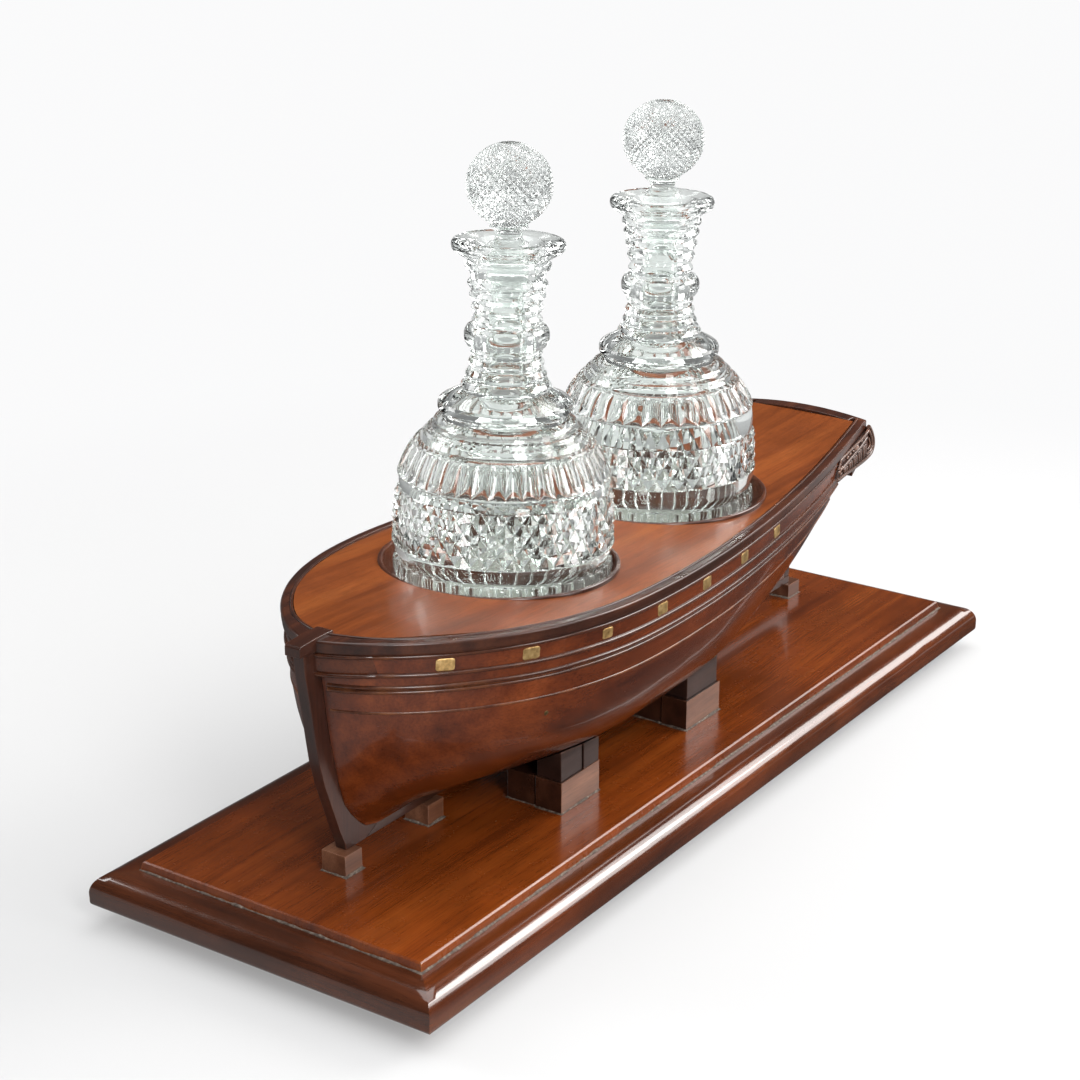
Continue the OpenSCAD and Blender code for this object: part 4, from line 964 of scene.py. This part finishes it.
def make_wells():
    for w in ("fore", "aft"):
        prof = [(0, -WELL_D - 5), (RIM_R - 1, -WELL_D - 5), (RIM_R, -WELL_D - 4.2), (RIM_R, -1.1)]
        c, r = (RIM_R + WELL_R) / 2, (RIM_R - WELL_R) / 2
        for k in range(13):
            a = pi * k / 12
            prof.append((c + r * cos(a), -0.95 + r * sin(a)))
        prof += [(WELL_R, -1.6), (WELL_R, -6), (WELL_R, -WELL_D + 0.6), (WELL_R - 0.6, -WELL_D), (0, -WELL_D)]
        lathe("turned_cup_" + w, prof, 192, None, M["well"], "stand", ["well_cup_" + w], sharp=40, place=lambda x, y, z, w=w: well_at(w, x, y, z))
        prof = [(0, -WELL_D + 0.1), (63.6, -WELL_D + 0.1), (64.0, -WELL_D + 0.5), (63.9, -WELL_D + 1.1), (63.2, -WELL_D + 1.45), (0, -WELL_D + 1.5)]
        lathe("pad_" + w, prof, 96, None, M["baize"], "stand", ["baize_" + w], sharp=60, place=lambda x, y, z, w=w: well_at(w, x, y, z))


# ---------------------------------------------------------------- cut glass
def cut_rows(zones, M_):
    """Rows of a cut surface. Each zone is a band of turned, fluted or diamond-cut glass."""
    rows = []
    for z in zones:
        kind = z[0]
        if kind == 'turn':
            for r, h in z[1]:
                rows.append([(r, h)] * M_)
        elif kind == 'flute':
            _, n, depth, prof, rows_n, lead0, lead1 = z[:7]
            z0, z1 = prof[0][1], prof[-1][1]
            tab = [(h, r) for r, h in prof]
            for i in range(rows_n + 1):
                u = i / rows_n
                # closer rows where the flutes run out
                u = 0.5 - 0.5 * cos(pi * u)
                h = z0 + (z1 - z0) * u
                base = lerp_table(tab, h)
                d = depth
                if lead0 and h - z0 < lead0:
                    d *= sqrt(max(0, 1 - (1 - (h - z0) / lead0) ** 2))
                if lead1 and z1 - h < lead1:
                    d *= sqrt(max(0, 1 - (1 - (z1 - h) / lead1) ** 2))
                row = []
                for j in range(M_):
                    f = (j * n / M_) % 1.0
                    row.append((base - d * (1 - (2 * f - 1) ** 2), h))
                rows.append(row)
        elif kind == 'star':
            _, n, depth, prof = z
            for r, h, k in prof:
                rows.append([(r, h + depth * k * (1 - abs(2 * ((j * n / M_) % 1.0) - 1))) for j in range(M_)])
        elif kind == 'diamond':
            _, n, depth, tab, z0, z1, rows_n = z
            per = M_ // n
            for i in range(rows_n + 1):
                h = z0 + (z1 - z0) * i / rows_n
                base = lerp_table(tab, h)
                row = []
                for j in range(M_):
                    a = ((j + i) % per) / per
                    b = ((j - i) % per) / per
                    k = 2 * min(min(a, 1 - a), min(b, 1 - b))
                    row.append((base - depth * (1 - k), h))
                rows.append(row)
    return rows


def cut_glass(name, node, body, zones, inner, place, M_=320):
    rows = cut_rows(zones, M_) + [[(r, h)] * M_ for r, h in inner]
    verts = []
    for row in rows:
        for j, (r, h) in enumerate(row):
            a = 2 * pi * j / M_
            verts.append((r * cos(a), r * sin(a), h))
    faces = []
    for i in range(len(rows) - 1):
        for j in range(M_):
            k = (j + 1) % M_
            a, b, c, d = i * M_ + j, i * M_ + k, (i + 1) * M_ + k, (i + 1) * M_ + j
            ra, rb, rc, rd = rows[i][j][0], rows[i][k][0], rows[i + 1][k][0], rows[i + 1][j][0]
            if abs((ra + rc) - (rb + rd)) < 0.05:
                faces.append((a, b, c, d))
            elif ra + rc < rb + rd:
                faces += [(a, b, c), (a, c, d)]
            else:
                faces += [(a, b, d), (b, c, d)]
    ob = add_object(name, [place(*p) for p in verts], faces, M["glass"], body, [node], sharp=17)
    ob.visible_shadow = False
    ob.visible_diffuse = False
    return ob


def ring_series(peaks, outline, peak_up, valley, half):
    """Prismatic rings: two slopes to a narrow crest at each height."""
    pts = []
    for i, z in enumerate(peaks):
        r = lerp_table(outline, z) + peak_up
        up = (peaks[i + 1] - z) / 2 if i + 1 < len(peaks) else half
        dn = (z - peaks[i - 1]) / 2 if i else half
        pts += [(r - valley, z - dn + 0.25), (r - valley * 0.86, z - dn + 0.7), (r - 0.30, z - 0.95), (r, z - 0.45), (r, z + 0.45), (r - 0.30, z + 0.95),
                (r - valley * 0.86, z + up - 0.7), (r - valley, z + up - 0.25)]
    return pts


NECK = [(131.8, 26.4), (136.0, 24.2), (142.2, 21.8), (148.6, 20.4), (155, 19.4), (170.2, 18.4), (175.2, 18.3), (181.2, 19.2), (187.8, 20.3), (194.8, 21.4), (200.6, 22.8)]


def neck_profile(k, lower, upper):
    p = [(34.2 * k, 117.6), (34.2 * k, 119.4), (35.0 * k, 120.4), (36.6 * k, 121.6), (37.2 * k, 123.0), (37.2 * k, 125.6), (36.4 * k, 127.2), (34.6 * k, 128.5), (30.6, 130.0), (27.4, 131.4)]
    p += ring_series(lower, NECK, 0.35, 1.7, 3.0)
    p += [(19.6, 156.9), (21.6, 157.6), (22.8, 159.6), (23.3, 161.4), (23.35, 164.4), (22.8, 166.4), (21.6, 168.1), (19.2, 169.0)]
    p += ring_series(upper, NECK, 0.95, 1.9, 3.2)
    p += [(21.0, 198.6), (22.7, 199.6), (23.5, 200.8), (23.5, 202.6), (22.6, 203.6), (22.4, 204.6), (23.2, 205.4), (25.4, 206.8), (28.0, 208.3), (29.9, 209.5), (30.7, 210.8),
          (30.95, 212.4), (30.7, 213.8), (29.9, 214.9), (28.4, 215.5), (26.0, 215.5), (21.5, 214.9), (17.6, 214.2), (16.2, 213.2)]
    return p


def make_glass():
    star = [(0.0, 1.6, 0.0), (2.0, 1.6, 0.1), (10.0, 1.5, 0.55), (22.0, 1.4, 1.0), (32.0, 1.2, 0.9), (36.5, 1.1, 0.45), (38.5, 1.0, 0.0)]
    base = [(39.4, 0.5), (40, 0), (42.5, 0), (44.3, 0.5), (45.5, 1.6)]
    # fore decanter: forty diamonds round, two and a half high, and forty flutes
    k = 1.0
    flutes = [(45.5, 1.6), (49.2, 5.2), (52.6, 9), (55.7, 13.8), (58.2, 19), (60.0, 25), (61.2, 31), (61.4, 35), (61.0, 37.2)]
    dia = [(48.2, 62.1), (52, 62.3), (60, 62.2), (66, 61.9), (72, 61.2), (78, 60.1)]
    zones = [('star', 32, 2.4, star), ('turn', base), ('flute', 40, 2.4, flutes, 18, 6.0, 0.0),
             ('turn', [(58.9, 37.3), (58.7, 38.2), (59.1, 40.0), (60.2, 42.8), (61.2, 45.6), (61.9, 47.8), (62.1, 48.15)]),
             ('diamond', 40, 3.0, dia, 48.2, 77.95, 19),
             ('turn', [(58.2, 78.0), (57.9, 78.6), (58.2, 81.0), (58.1, 83.6), (57.9, 84.6)]),
             ('turn', [(59.0, 85.6), (59.2, 86.2)]),
             ('flute', 40, 1.55, [(59.2, 86.3), (57.7, 91), (55.8, 95.4), (53.4, 99.6), (50.6, 103.6)], 14, 5.0, 3.0),
             ('turn', [(50.4, 104.0), (49.6, 104.7), (47.6, 105.2), (46.9, 105.6), (46.5, 106.6), (45.9, 108.2), (45.4, 109.0), (43.7, 110.4), (43.2, 111.4), (42.6, 112.0), (40.6, 112.5), (40.1, 113.4), (39.7, 115.2), (38.9, 116.3), (36.4, 117.2), (34.6, 117.5)]),
             ('turn', neck_profile(k, [135.2, 141.8, 148.4, 154.4], [172.0, 178.6, 185.2, 191.6, 197.2][0:4]))]

    def inside(k, wob):
        p = [(15.2, 212.2), (13.0, 210.0), (12.35, 206.5), (11.4, 196), (10.45, 184), (10.5, 178), (11.0, 172), (11.5, 160), (11.8, 150), (12.6, 143), (14.6, 136.5),
             (18.4, 130.6), (23.5, 125.6), (29.6, 120.4), (36, 113.2), (41.2, 105.6), (45.4, 96.4), (48.6, 86), (50.6, 76), (51.7, 66), (52, 56), (51.6, 46), (50.4, 37), (48.0, 28), (44.4, 20.4), (38.8, 15.2), (30, 12.6), (18, 11.4), (6, 11.0), (0.0, 11.0)]
        q = []
        for r, z in p:
            q.append((r * (k if z < 130 else 1.0), z))
        return smooth_profile(q, 2)
    cut_glass("cut_decanter_fore", "decanter_fore", "decanter_fore_glass", zones, inside(1.0, 0), glass_at("fore"))
    # aft decanter: diamonds between two plain bands, wider flutes
    k = 60.3 / 62.2
    flutes = [(r * k, z) for r, z in flutes]
    dia = [(52.0, 60.3), (58, 60.4), (64, 60.3), (70, 60.0), (76, 59.4)]
    base = [(r * k, z) for r, z in base]
    zones = [('star', 32, 2.4, star), ('turn', base), ('flute', 40, 2.4, flutes, 18, 6.0, 0.0),
             ('turn', [(57.4, 37.3), (57.2, 38.4), (57.6, 40.2), (58.4, 43.0), (59.2, 46.0), (59.9, 49.5), (60.2, 51.4), (60.3, 51.95)]),
             ('diamond', 40, 2.9, dia, 52.0, 75.95, 14),
             ('turn', [(57.9, 76.0), (57.6, 76.7), (57.9, 79.0), (57.9, 83.0), (57.3, 87.2), (56.6, 89.4)]),
             ('turn', [(57.5, 90.2), (57.6, 90.8)]),
             ('flute', 32, 1.7, [(57.6, 90.9), (56.0, 95.0), (53.8, 99.2), (51.2, 102.8), (48.4, 106.2)], 13, 4.5, 3.0),
             ('turn', [(48.0, 106.6), (46.9, 107.2), (45.6, 107.7), (45.2, 108.6), (44.4, 110.4), (43.4, 111.4), (41.6, 112.3), (40.9, 112.9), (40.4, 114.2), (39.4, 115.4), (37.0, 116.6), (34.0, 117.4)]),
             ('turn', neck_profile(k, [135.0, 141.6, 148.2, 154.2], [173.4, 181.0, 188.4, 195.2]))]
    cut_glass("cut_decanter_aft", "decanter_aft", "decanter_aft_glass", zones, inside(k, 1), glass_at("aft"))
    for w, dz, r, n in (("fore", 244.6, 23.8, 28), ("aft", 249.4, 24.3, 30)):
        stopper(w, dz, r, n)


def stopper(w, dz, r, n):
    """A ball cut all over with small diamonds, on a short stem and a ground plug."""
    place = glass_at(w)
    M_ = 2 * n
    step = pi / n                     # half a diamond, in the stretched latitude
    lat = lambda v: 2 * math.atan(exp(v)) - pi / 2
    rows, kinds = [], []
    lo, hi = -int(log(tan(pi / 4 + radians(63) / 2)) / step), int(log(tan(pi / 4 + radians(74) / 2)) / step)
    top_r = None
    for i in range(lo, hi + 1):
        ph = lat(i * step)
        depth = 0.062 * r * max(0.35, cos(ph))
        row = []
        for j in range(M_):
            crest = (i + j) % 2 == 1
            rr = r if crest else r - depth
            row.append((rr * cos(ph), rr * 0.955 * sin(ph)))
        rows.append(row)
    low = [[(a, b)] * M_ for a, b in [(0, -62.5), (6, -62.5), (9.2, -62.5), (9.8, -62.0), (9.95, -61.4), (10.6, -52), (11.3, -42), (11.85, -33.6), (11.7, -32.2), (10.9, -31.2),
                                     (9.0, -30.2), (7.7, -29.2), (7.35, -27.6), (7.35, -25.8), (7.7, -24.8), (9.2, -23.9), (10.2, -23.3), (10.6, -22.6), (10.2, -22.0), (9.9, -21.6)]]
    rows = low + rows
    tr, tz = rows[-1][0]
    rows.append([(tr * 0.80, tz + 0.35)] * M_)
    rows.append([(0, tz + 0.30)] * M_)
    verts, faces = [], []
    for row in rows:
        for j, (a, b) in enumerate(row):
            t = 2 * pi * j / M_
            verts.append(place(a * cos(t), a * sin(t), b + dz))
    for i in range(len(rows) - 1):
        for j in range(M_):
            kk = (j + 1) % M_
            a, b, c, d = i * M_ + j, i * M_ + kk, (i + 1) * M_ + kk, (i + 1) * M_ + j
            ra, rb, rc, rd = (rows[i][j][0] ** 2 + rows[i][j][1] ** 2, rows[i][kk][0] ** 2 + rows[i][kk][1] ** 2,
                              rows[i + 1][kk][0] ** 2 + rows[i + 1][kk][1] ** 2, rows[i + 1][j][0] ** 2 + rows[i + 1][j][1] ** 2)
            if abs((ra + rc) - (rb + rd)) < 4:
                faces.append((a, b, c, d))
            elif ra + rc < rb + rd:
                faces += [(a, b, c), (a, c, d)]
            else:
                faces += [(a, b, d), (b, c, d)]
    o = place(0, 0, dz - 31)

    def which(c, nn):
        return 1 if c[2] < o[2] - 1.5 and hypot(c[0] - o[0], c[1] - o[1]) > 8.6 and abs(nn.z) < 0.5 else 0
    ob = add_object("cut_stopper_" + w, verts, faces, [M["ball"], M["ground"]], "stopper_%s_glass" % w, ["stopper_" + w], sharp=14, per_face=which)
    ob.visible_shadow = False
    ob.visible_diffuse = False


# ---------------------------------------------------------------- brass
def plate_mesh(l, h, t, seed, bow):
    """A thin plate with nibbled corners and a beaten face; x along, z up, y out."""
    nx, nz = 22, 16
    v = []
    for side in (0, 1):
        for i in range(nz + 1):
            for j in range(nx + 1):
                x, z = (j / nx - 0.5) * l, (i / nz - 0.5) * h
                ax, az = abs(x) / (l / 2), abs(z) / (h / 2)
                c = max(0, ax + az - 1.72) * 0.9
                n = noise.noise(Vector((x * 0.6 + seed * 7, z * 0.6, seed)))
                e = max(ax, az) ** 14
                y = (t + 0.10 * n - 0.28 * e) if side else 0
                v.append((x * (1 - c * 0.5) + 0.10 * n * ax, y, z * (1 - c * 0.5) + 0.08 * n * az))
    f = []
    m = (nx + 1) * (nz + 1)
    for i in range(nz):
        for j in range(nx):
            a = i * (nx + 1) + j
            f.append((a, a + 1, a + nx + 2, a + nx + 1))
            f.append((m + a, m + a + nx + 1, m + a + nx + 2, m + a + 1))
    edge = [j for j in range(nx + 1)] + [(i + 1) * (nx + 1) + nx for i in range(nz)] + [nz * (nx + 1) + j for j in range(nx - 1, -1, -1)] + [i * (nx + 1) for i in range(nz - 1, 0, -1)]
    for a, b in zip(edge, edge[1:] + edge[:1]):
        f.append((a, m + a, m + b, b))
    return v, f


def make_brass():
    pv, pf = [], []
    for port in (True, False):
        for k in range(7):
            x = -214.5 if k == 0 else -214.5 + 42.6 + (k - 1) * 51.4
            s = s_at(x, sheer(x) - 14)
            o, a, b = side_pt(s, 13.7), side_pt(s - 0.01, 13.7), side_pt(s + 0.01, 13.7)
            u, d = side_pt(s, 10.7), side_pt(s, 16.7)
            ex = Vector((b[0] - a[0], b[1] - a[1], b[2] - a[2])).normalized()
            ez = (Vector(u) - Vector(d)).normalized()
            ey = ez.cross(ex).normalized()
            ez = ex.cross(ey).normalized()
            if ey.y < 0:
                ey = -ey
            sz = (0.93, 0.82, 0.97, 1.0, 0.96, 1.0, 0.95)[k] if k != 2 else 0.78
            v, f = plate_mesh(10.5 * (1 if k != 2 else 0.8) * (0.97 + 0.03 * (k % 2)), 6.9 * (1 if k != 2 else 0.86), 0.75, k + (0 if port else 20), 0)
            n0 = len(pv)
            for q in v:
                w = Vector(o) + ex * q[0] + ey * (q[1] - 0.45) + ez * q[2]
                pv.append((w.x, -w.y if port else w.y, w.z + P))
            pf += [tuple(n0 + i for i in fa) for fa in f]

    def which(c, n):
        return 1 if c[0] < -205 else 0
    add_object("beaten_plates", pv, pf, [M["brass"], M["brass_bright"]], "stand", ["brass_plates"], sharp=55, per_face=which)
    pv, pf = [], []
    for port in (True, False):
        for x, z in ((-160.2, 81.5), (26.4, 46.5)):
            s = s_at(x, z)
            d = sheer(-256 + s * (X_POST + 256)) - z
            o, a, b, u, w = (Vector(q) for q in (side_pt(s, d), side_pt(s - 0.01, d), side_pt(s + 0.01, d), side_pt(s, d - 2), side_pt(s, d + 2)))
            n = (b - a).cross(u - w).normalized()
            if n.y < 0:
                n = -n
            t1 = (b - a).normalized()
            t2 = n.cross(t1)
            n0 = len(pv)
            prof = [(0.0, 0.28), (0.8, 0.26), (1.25, 0.16), (1.5, -0.05), (1.5, -2.0)]
            for r, h in prof:
                for j in range(20):
                    aa = 2 * pi * j / 20
                    q = o + n * h + t1 * (r * cos(aa)) + t2 * (r * sin(aa))
                    pv.append((q.x, -q.y if port else q.y, q.z + P))
            for i in range(len(prof) - 1):
                for j in range(20):
                    jj = (j + 1) % 20
                    pf.append((n0 + i * 20 + j, n0 + i * 20 + jj, n0 + (i + 1) * 20 + jj, n0 + (i + 1) * 20 + j))
            pf.append(tuple(n0 + 4 * 20 + j for j in range(20)))
    add_object("driven_pins", pv, pf, M["brass_dull"], "stand", ["brass_pins"], sharp=50)


# ---------------------------------------------------------------- carved quarter galleries
GA = radians(8.867)


def gal_at(x, z, out, port):
    """A point of the gallery's own plane: x from its fore end, z above the raised panel, out from the plane."""
    X = 204 + x * cos(GA) + out * sin(GA)
    Y = 57.2 - x * sin(GA) + out * cos(GA)
    return (X, -Y if port else Y, z + P)


def swept(path, radii, seg=10, closed=False, squash=0.75):
    """A half-sunk rounded bar along points (x, z) of the gallery's plane; the bar's middle lies at out = 0."""
    n = len(path)
    rows = []
    for i, (x, z) in enumerate(path):
        a = path[(i - 1) % n] if closed or i else path[i]
        b = path[(i + 1) % n] if closed or i < n - 1 else path[i]
        t = (b[0] - a[0], b[1] - a[1])
        l = hypot(*t) or 1
        nx, nz = -t[1] / l, t[0] / l
        r = radii[i] if isinstance(radii, (list, tuple)) else radii
        rows.append([(x + nx * r * cos(q), z + nz * r * cos(q), squash * r * sin(q)) for q in [2 * pi * k / seg for k in range(seg)]])
    v, f = grid(rows, wrap_u=True, wrap_v=closed)
    if not closed:
        f.append(tuple(range(seg))[::-1])
        f.append(tuple((n - 1) * seg + k for k in range(seg)))
    return v, f


def spline(p, k=6, closed=False):
    out = []
    n = len(p)
    for i in range(n if closed else n - 1):
        g = (lambda q: p[q % n]) if closed else (lambda q: p[min(max(q, 0), n - 1)])
        p0, p1, p2, p3 = g(i - 1), g(i), g(i + 1), g(i + 2)
        for j in range(k):
            t = j / k
            out.append(tuple(0.5 * (2 * b + (c - a) * t + (2 * a - 5 * b + 4 * c - d) * t * t + (3 * b - a - 3 * c + d) * t ** 3)
                             for a, b, c, d in zip(p0, p1, p2, p3)))
    if not closed:
        out.append(p[-1])
    return out


def make_galleries():
    outer = [(-1.4, 106.3), (0.4, 105.3), (3.2, 104.9), (14, 104.8), (28, 103.9), (48, 102.9), (61, 102.7), (69.6, 103.6), (73.2, 106.4), (74.0, 109.6), (72.9, 113.2),
             (70.4, 116.9), (67.6, 120.0), (65.2, 122.2), (63.6, 123.5), (62.0, 124.2)]
    under = [(62.4, 121.3), (54, 119.9), (36, 118.9), (8.2, 117.4), (4.6, 115.6), (1.2, 111.8)]
    for port in (True, False):
        V, F = [], []

        def put(vf, z0=0.0, raised=True):
            v, f = vf
            n0 = len(V)
            for x, z, o in v:
                V.append(gal_at(x, z, o + z0, port))
            F.extend([tuple(n0 + i for i in fa) for fa in f])
        # ground of the carving, slightly dished
        ring = spline(outer, 4) + spline(under, 4)
        rows = []
        c = (38, 111.4)
        for out, sc in ((-4.1, 1.0), (0.15, 1.0), (0.3, 0.985), (0.25, 0.94), (-0.25, 0.86), (-0.45, 0.55), (-0.5, 0.25), (-0.5, 0.0)):
            rows.append([(c[0] + (x - c[0]) * sc, c[1] + (z - c[1]) * sc, out) for x, z in ring])
        v, f = grid(rows, wrap_u=True)
        f.append(tuple(range(len(ring)))[::-1])
        add_object("gallery_ground_" + ("port" if port else "starboard"), [gal_at(x, z, o, port) for x, z, o in v], f, M["stem"], "stand", sharp=50)
        # border: a heavy outer roll and, inside it, a lighter fillet round the after end
        put(swept(spline(outer, 5), 1.35, 10, False, 0.95), 0.25)
        put(swept(spline(under, 5), 1.0, 8, False, 0.95), 0.1)
        put(swept(spline([(58.0, 105.6), (66.0, 105.9), (69.4, 107.8), (70.0, 110.6), (68.4, 114.2), (65.4, 118.0), (62.0, 121.2)], 5), 1.05, 8, False, 1.0), 0.45)
        put(swept(spline([(60.5, 108.4), (64.8, 108.9), (66.2, 110.8), (64.8, 113.6), (61.6, 116.8)], 5), 0.75, 8, False, 1.0), 0.2)
        # bar from the scroll up to the rail
        bar = spline([(8.5, 110.6), (20, 112.0), (34, 113.4), (48, 115.0), (58, 117.4)], 6)
        put(swept(bar, [1.15] * len(bar), 8, False, 0.9), 0.35)
        # panels below the bar, with deep grooves between them
        for k in range(5):
            x = 15.5 + 9.6 * k
            top = 111.3 + (x - 17) * 0.105 - 0.9
            bot = 106.3 - (x - 14) * 0.04
            for dx, wd in ((-1.9, 1.75), (1.9, 1.75)):
                put(swept([(x + dx, bot + 0.2), (x + dx, bot + 0.8), (x + dx, top - 0.8), (x + dx, top - 0.2)], [wd * 0.6, wd, wd, wd * 0.6], 10, False, 0.72), 0.1)
        # fan of leaves above the bar
        fc = (36.5, 114.6)
        for k in range(7):
            a = radians(14 + k * 25)
            ln = 3.6 + 3.4 * abs(cos(a)) ** 2
            pts = [(fc[0] + cos(a) * ln * q, fc[1] + sin(a) * ln * q * 0.86) for q in (0.18, 0.4, 0.7, 0.92, 1.0)]
            put(swept(pts, [0.3, 0.6, 0.95, 0.75, 0.3], 8, False, 0.8), 0.0)
        for x, z in ((20, 114.8), (25, 115.6), (48.5, 117.8), (53.5, 118.3)):
            put(swept([(x - 1.9, z), (x - 0.8, z + 0.3), (x + 0.8, z + 0.3), (x + 1.9, z)], [0.3, 1.0, 1.0, 0.3], 8, False, 0.9), 0.1)
        # scroll at the fore end and its leaves
        sc = [(7.0 + (3.9 - 0.62 * q) * cos(q * 1.15 + 0.6), 108.6 + (2.7 - 0.43 * q) * sin(q * 1.15 + 0.6)) for q in [i * 0.3 for i in range(19)]]
        put(swept(sc, [1.0 - 0.035 * i for i in range(len(sc))], 8, False, 0.9), 0.35)
        for a, ln in ((165, 5.0), (235, 4.2), (100, 5.0), (60, 6.0)):
            q = radians(a)
            pts = [(6.5 + cos(q) * ln * t, 109.2 + sin(q) * ln * 0.6 * t) for t in (0.3, 0.55, 0.85, 1.0)]
            put(swept(pts, [0.6, 1.05, 0.8, 0.25], 8, False, 0.8), 0.15)
        add_object("carved_gallery_" + ("port" if port else "starboard"), V, F, M["carved"], "stand",
                   ["quarter_gallery_" + ("port" if port else "starboard")], sharp=50)


def make_bow_band():
    """The bulwark closes round the stem under the rail, with its two beads."""
    xs = [-240 - 19.6 * sin(pi / 2 * i / 16) for i in range(17)]
    path = [(x, yb(x), 1) for x in xs] + [(-259.9, 1.2, 1), (-259.9, -1.2, -1)] + [(x, -yb(x), -1) for x in xs[::-1]]

    def ring(i, prof):
        x, y, m = path[i]
        a, b = path[max(i - 1, 0)], path[min(i + 1, len(path) - 1)]
        d = (b[0] - a[0], b[1] - a[1])
        l = hypot(*d)
        n = (d[1] / l, -d[0] / l)          # outwards
        q = clamp((x + 240) / -16, 0, 1)
        ins = 2.5 - 1.2 * q + 1.6 * clamp((x + 245) / 5, 0, 1) ** 2   # how far the band lies inside the rail's edge; its ends sink into the side
        return [(x + n[0] * (-ins + k), y + n[1] * (-ins + k), sheer(x) + z + P) for k, z in prof]
    band = [(-2.6, -6.95), (-0.2, -6.95), (0.0, -7.3), (0.0, -19.2), (-0.5, -19.9), (-2.6, -20.4)]
    sides = [ring(i, band) for i in range(len(path))]
    v, f = tube(sides)
    add_object("bow_bulwark", v, f, M["bulwark"], "stand", sharp=45)
    for nm, d in (("bow_sheer_bead", -8.2), ("bow_plate_bead", -18.6)):
        prof = [(-0.6, d + 1.25)] + [(1.2 * 1.1 * cos(a), d + 1.2 * sin(a)) for a in [pi / 2 - pi * i / 8 for i in range(9)]] + [(-0.6, d - 1.25)]
        v, f = tube([ring(i, prof) for i in range(len(path))])
        add_object(nm, v, f, M["bead"], "stand", sharp=40)


def plain_nodes():
    """Pieces inside the hull and under the board keep their construction shape."""
    for n in ("deck_beam_fore", "deck_beam_middle", "deck_beam_aft", "well_bearer_fore", "well_bearer_aft"):
        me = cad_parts[n].data
        me.materials.clear()
        me.materials.append(M["inner"])
    for n in ("keel_screws", "chock_screws"):
        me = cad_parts[n].data
        me.materials.clear()
        me.materials.append(M["brass"])


make_camera()
make_materials()
make_stage()
make_plinth()
make_blocks()
make_hull()
make_mouldings()
make_rails()
make_bow_band()
make_deck()
make_wells()
make_glass()
make_brass()
make_galleries()
plain_nodes()
scene.view_settings.view_transform = 'Standard'
scene.view_settings.look = 'None'
scene.cycles.max_bounces = 24
scene.cycles.transmission_bounces = 24
scene.cycles.glossy_bounces = 8
scene.cycles.diffuse_bounces = 4
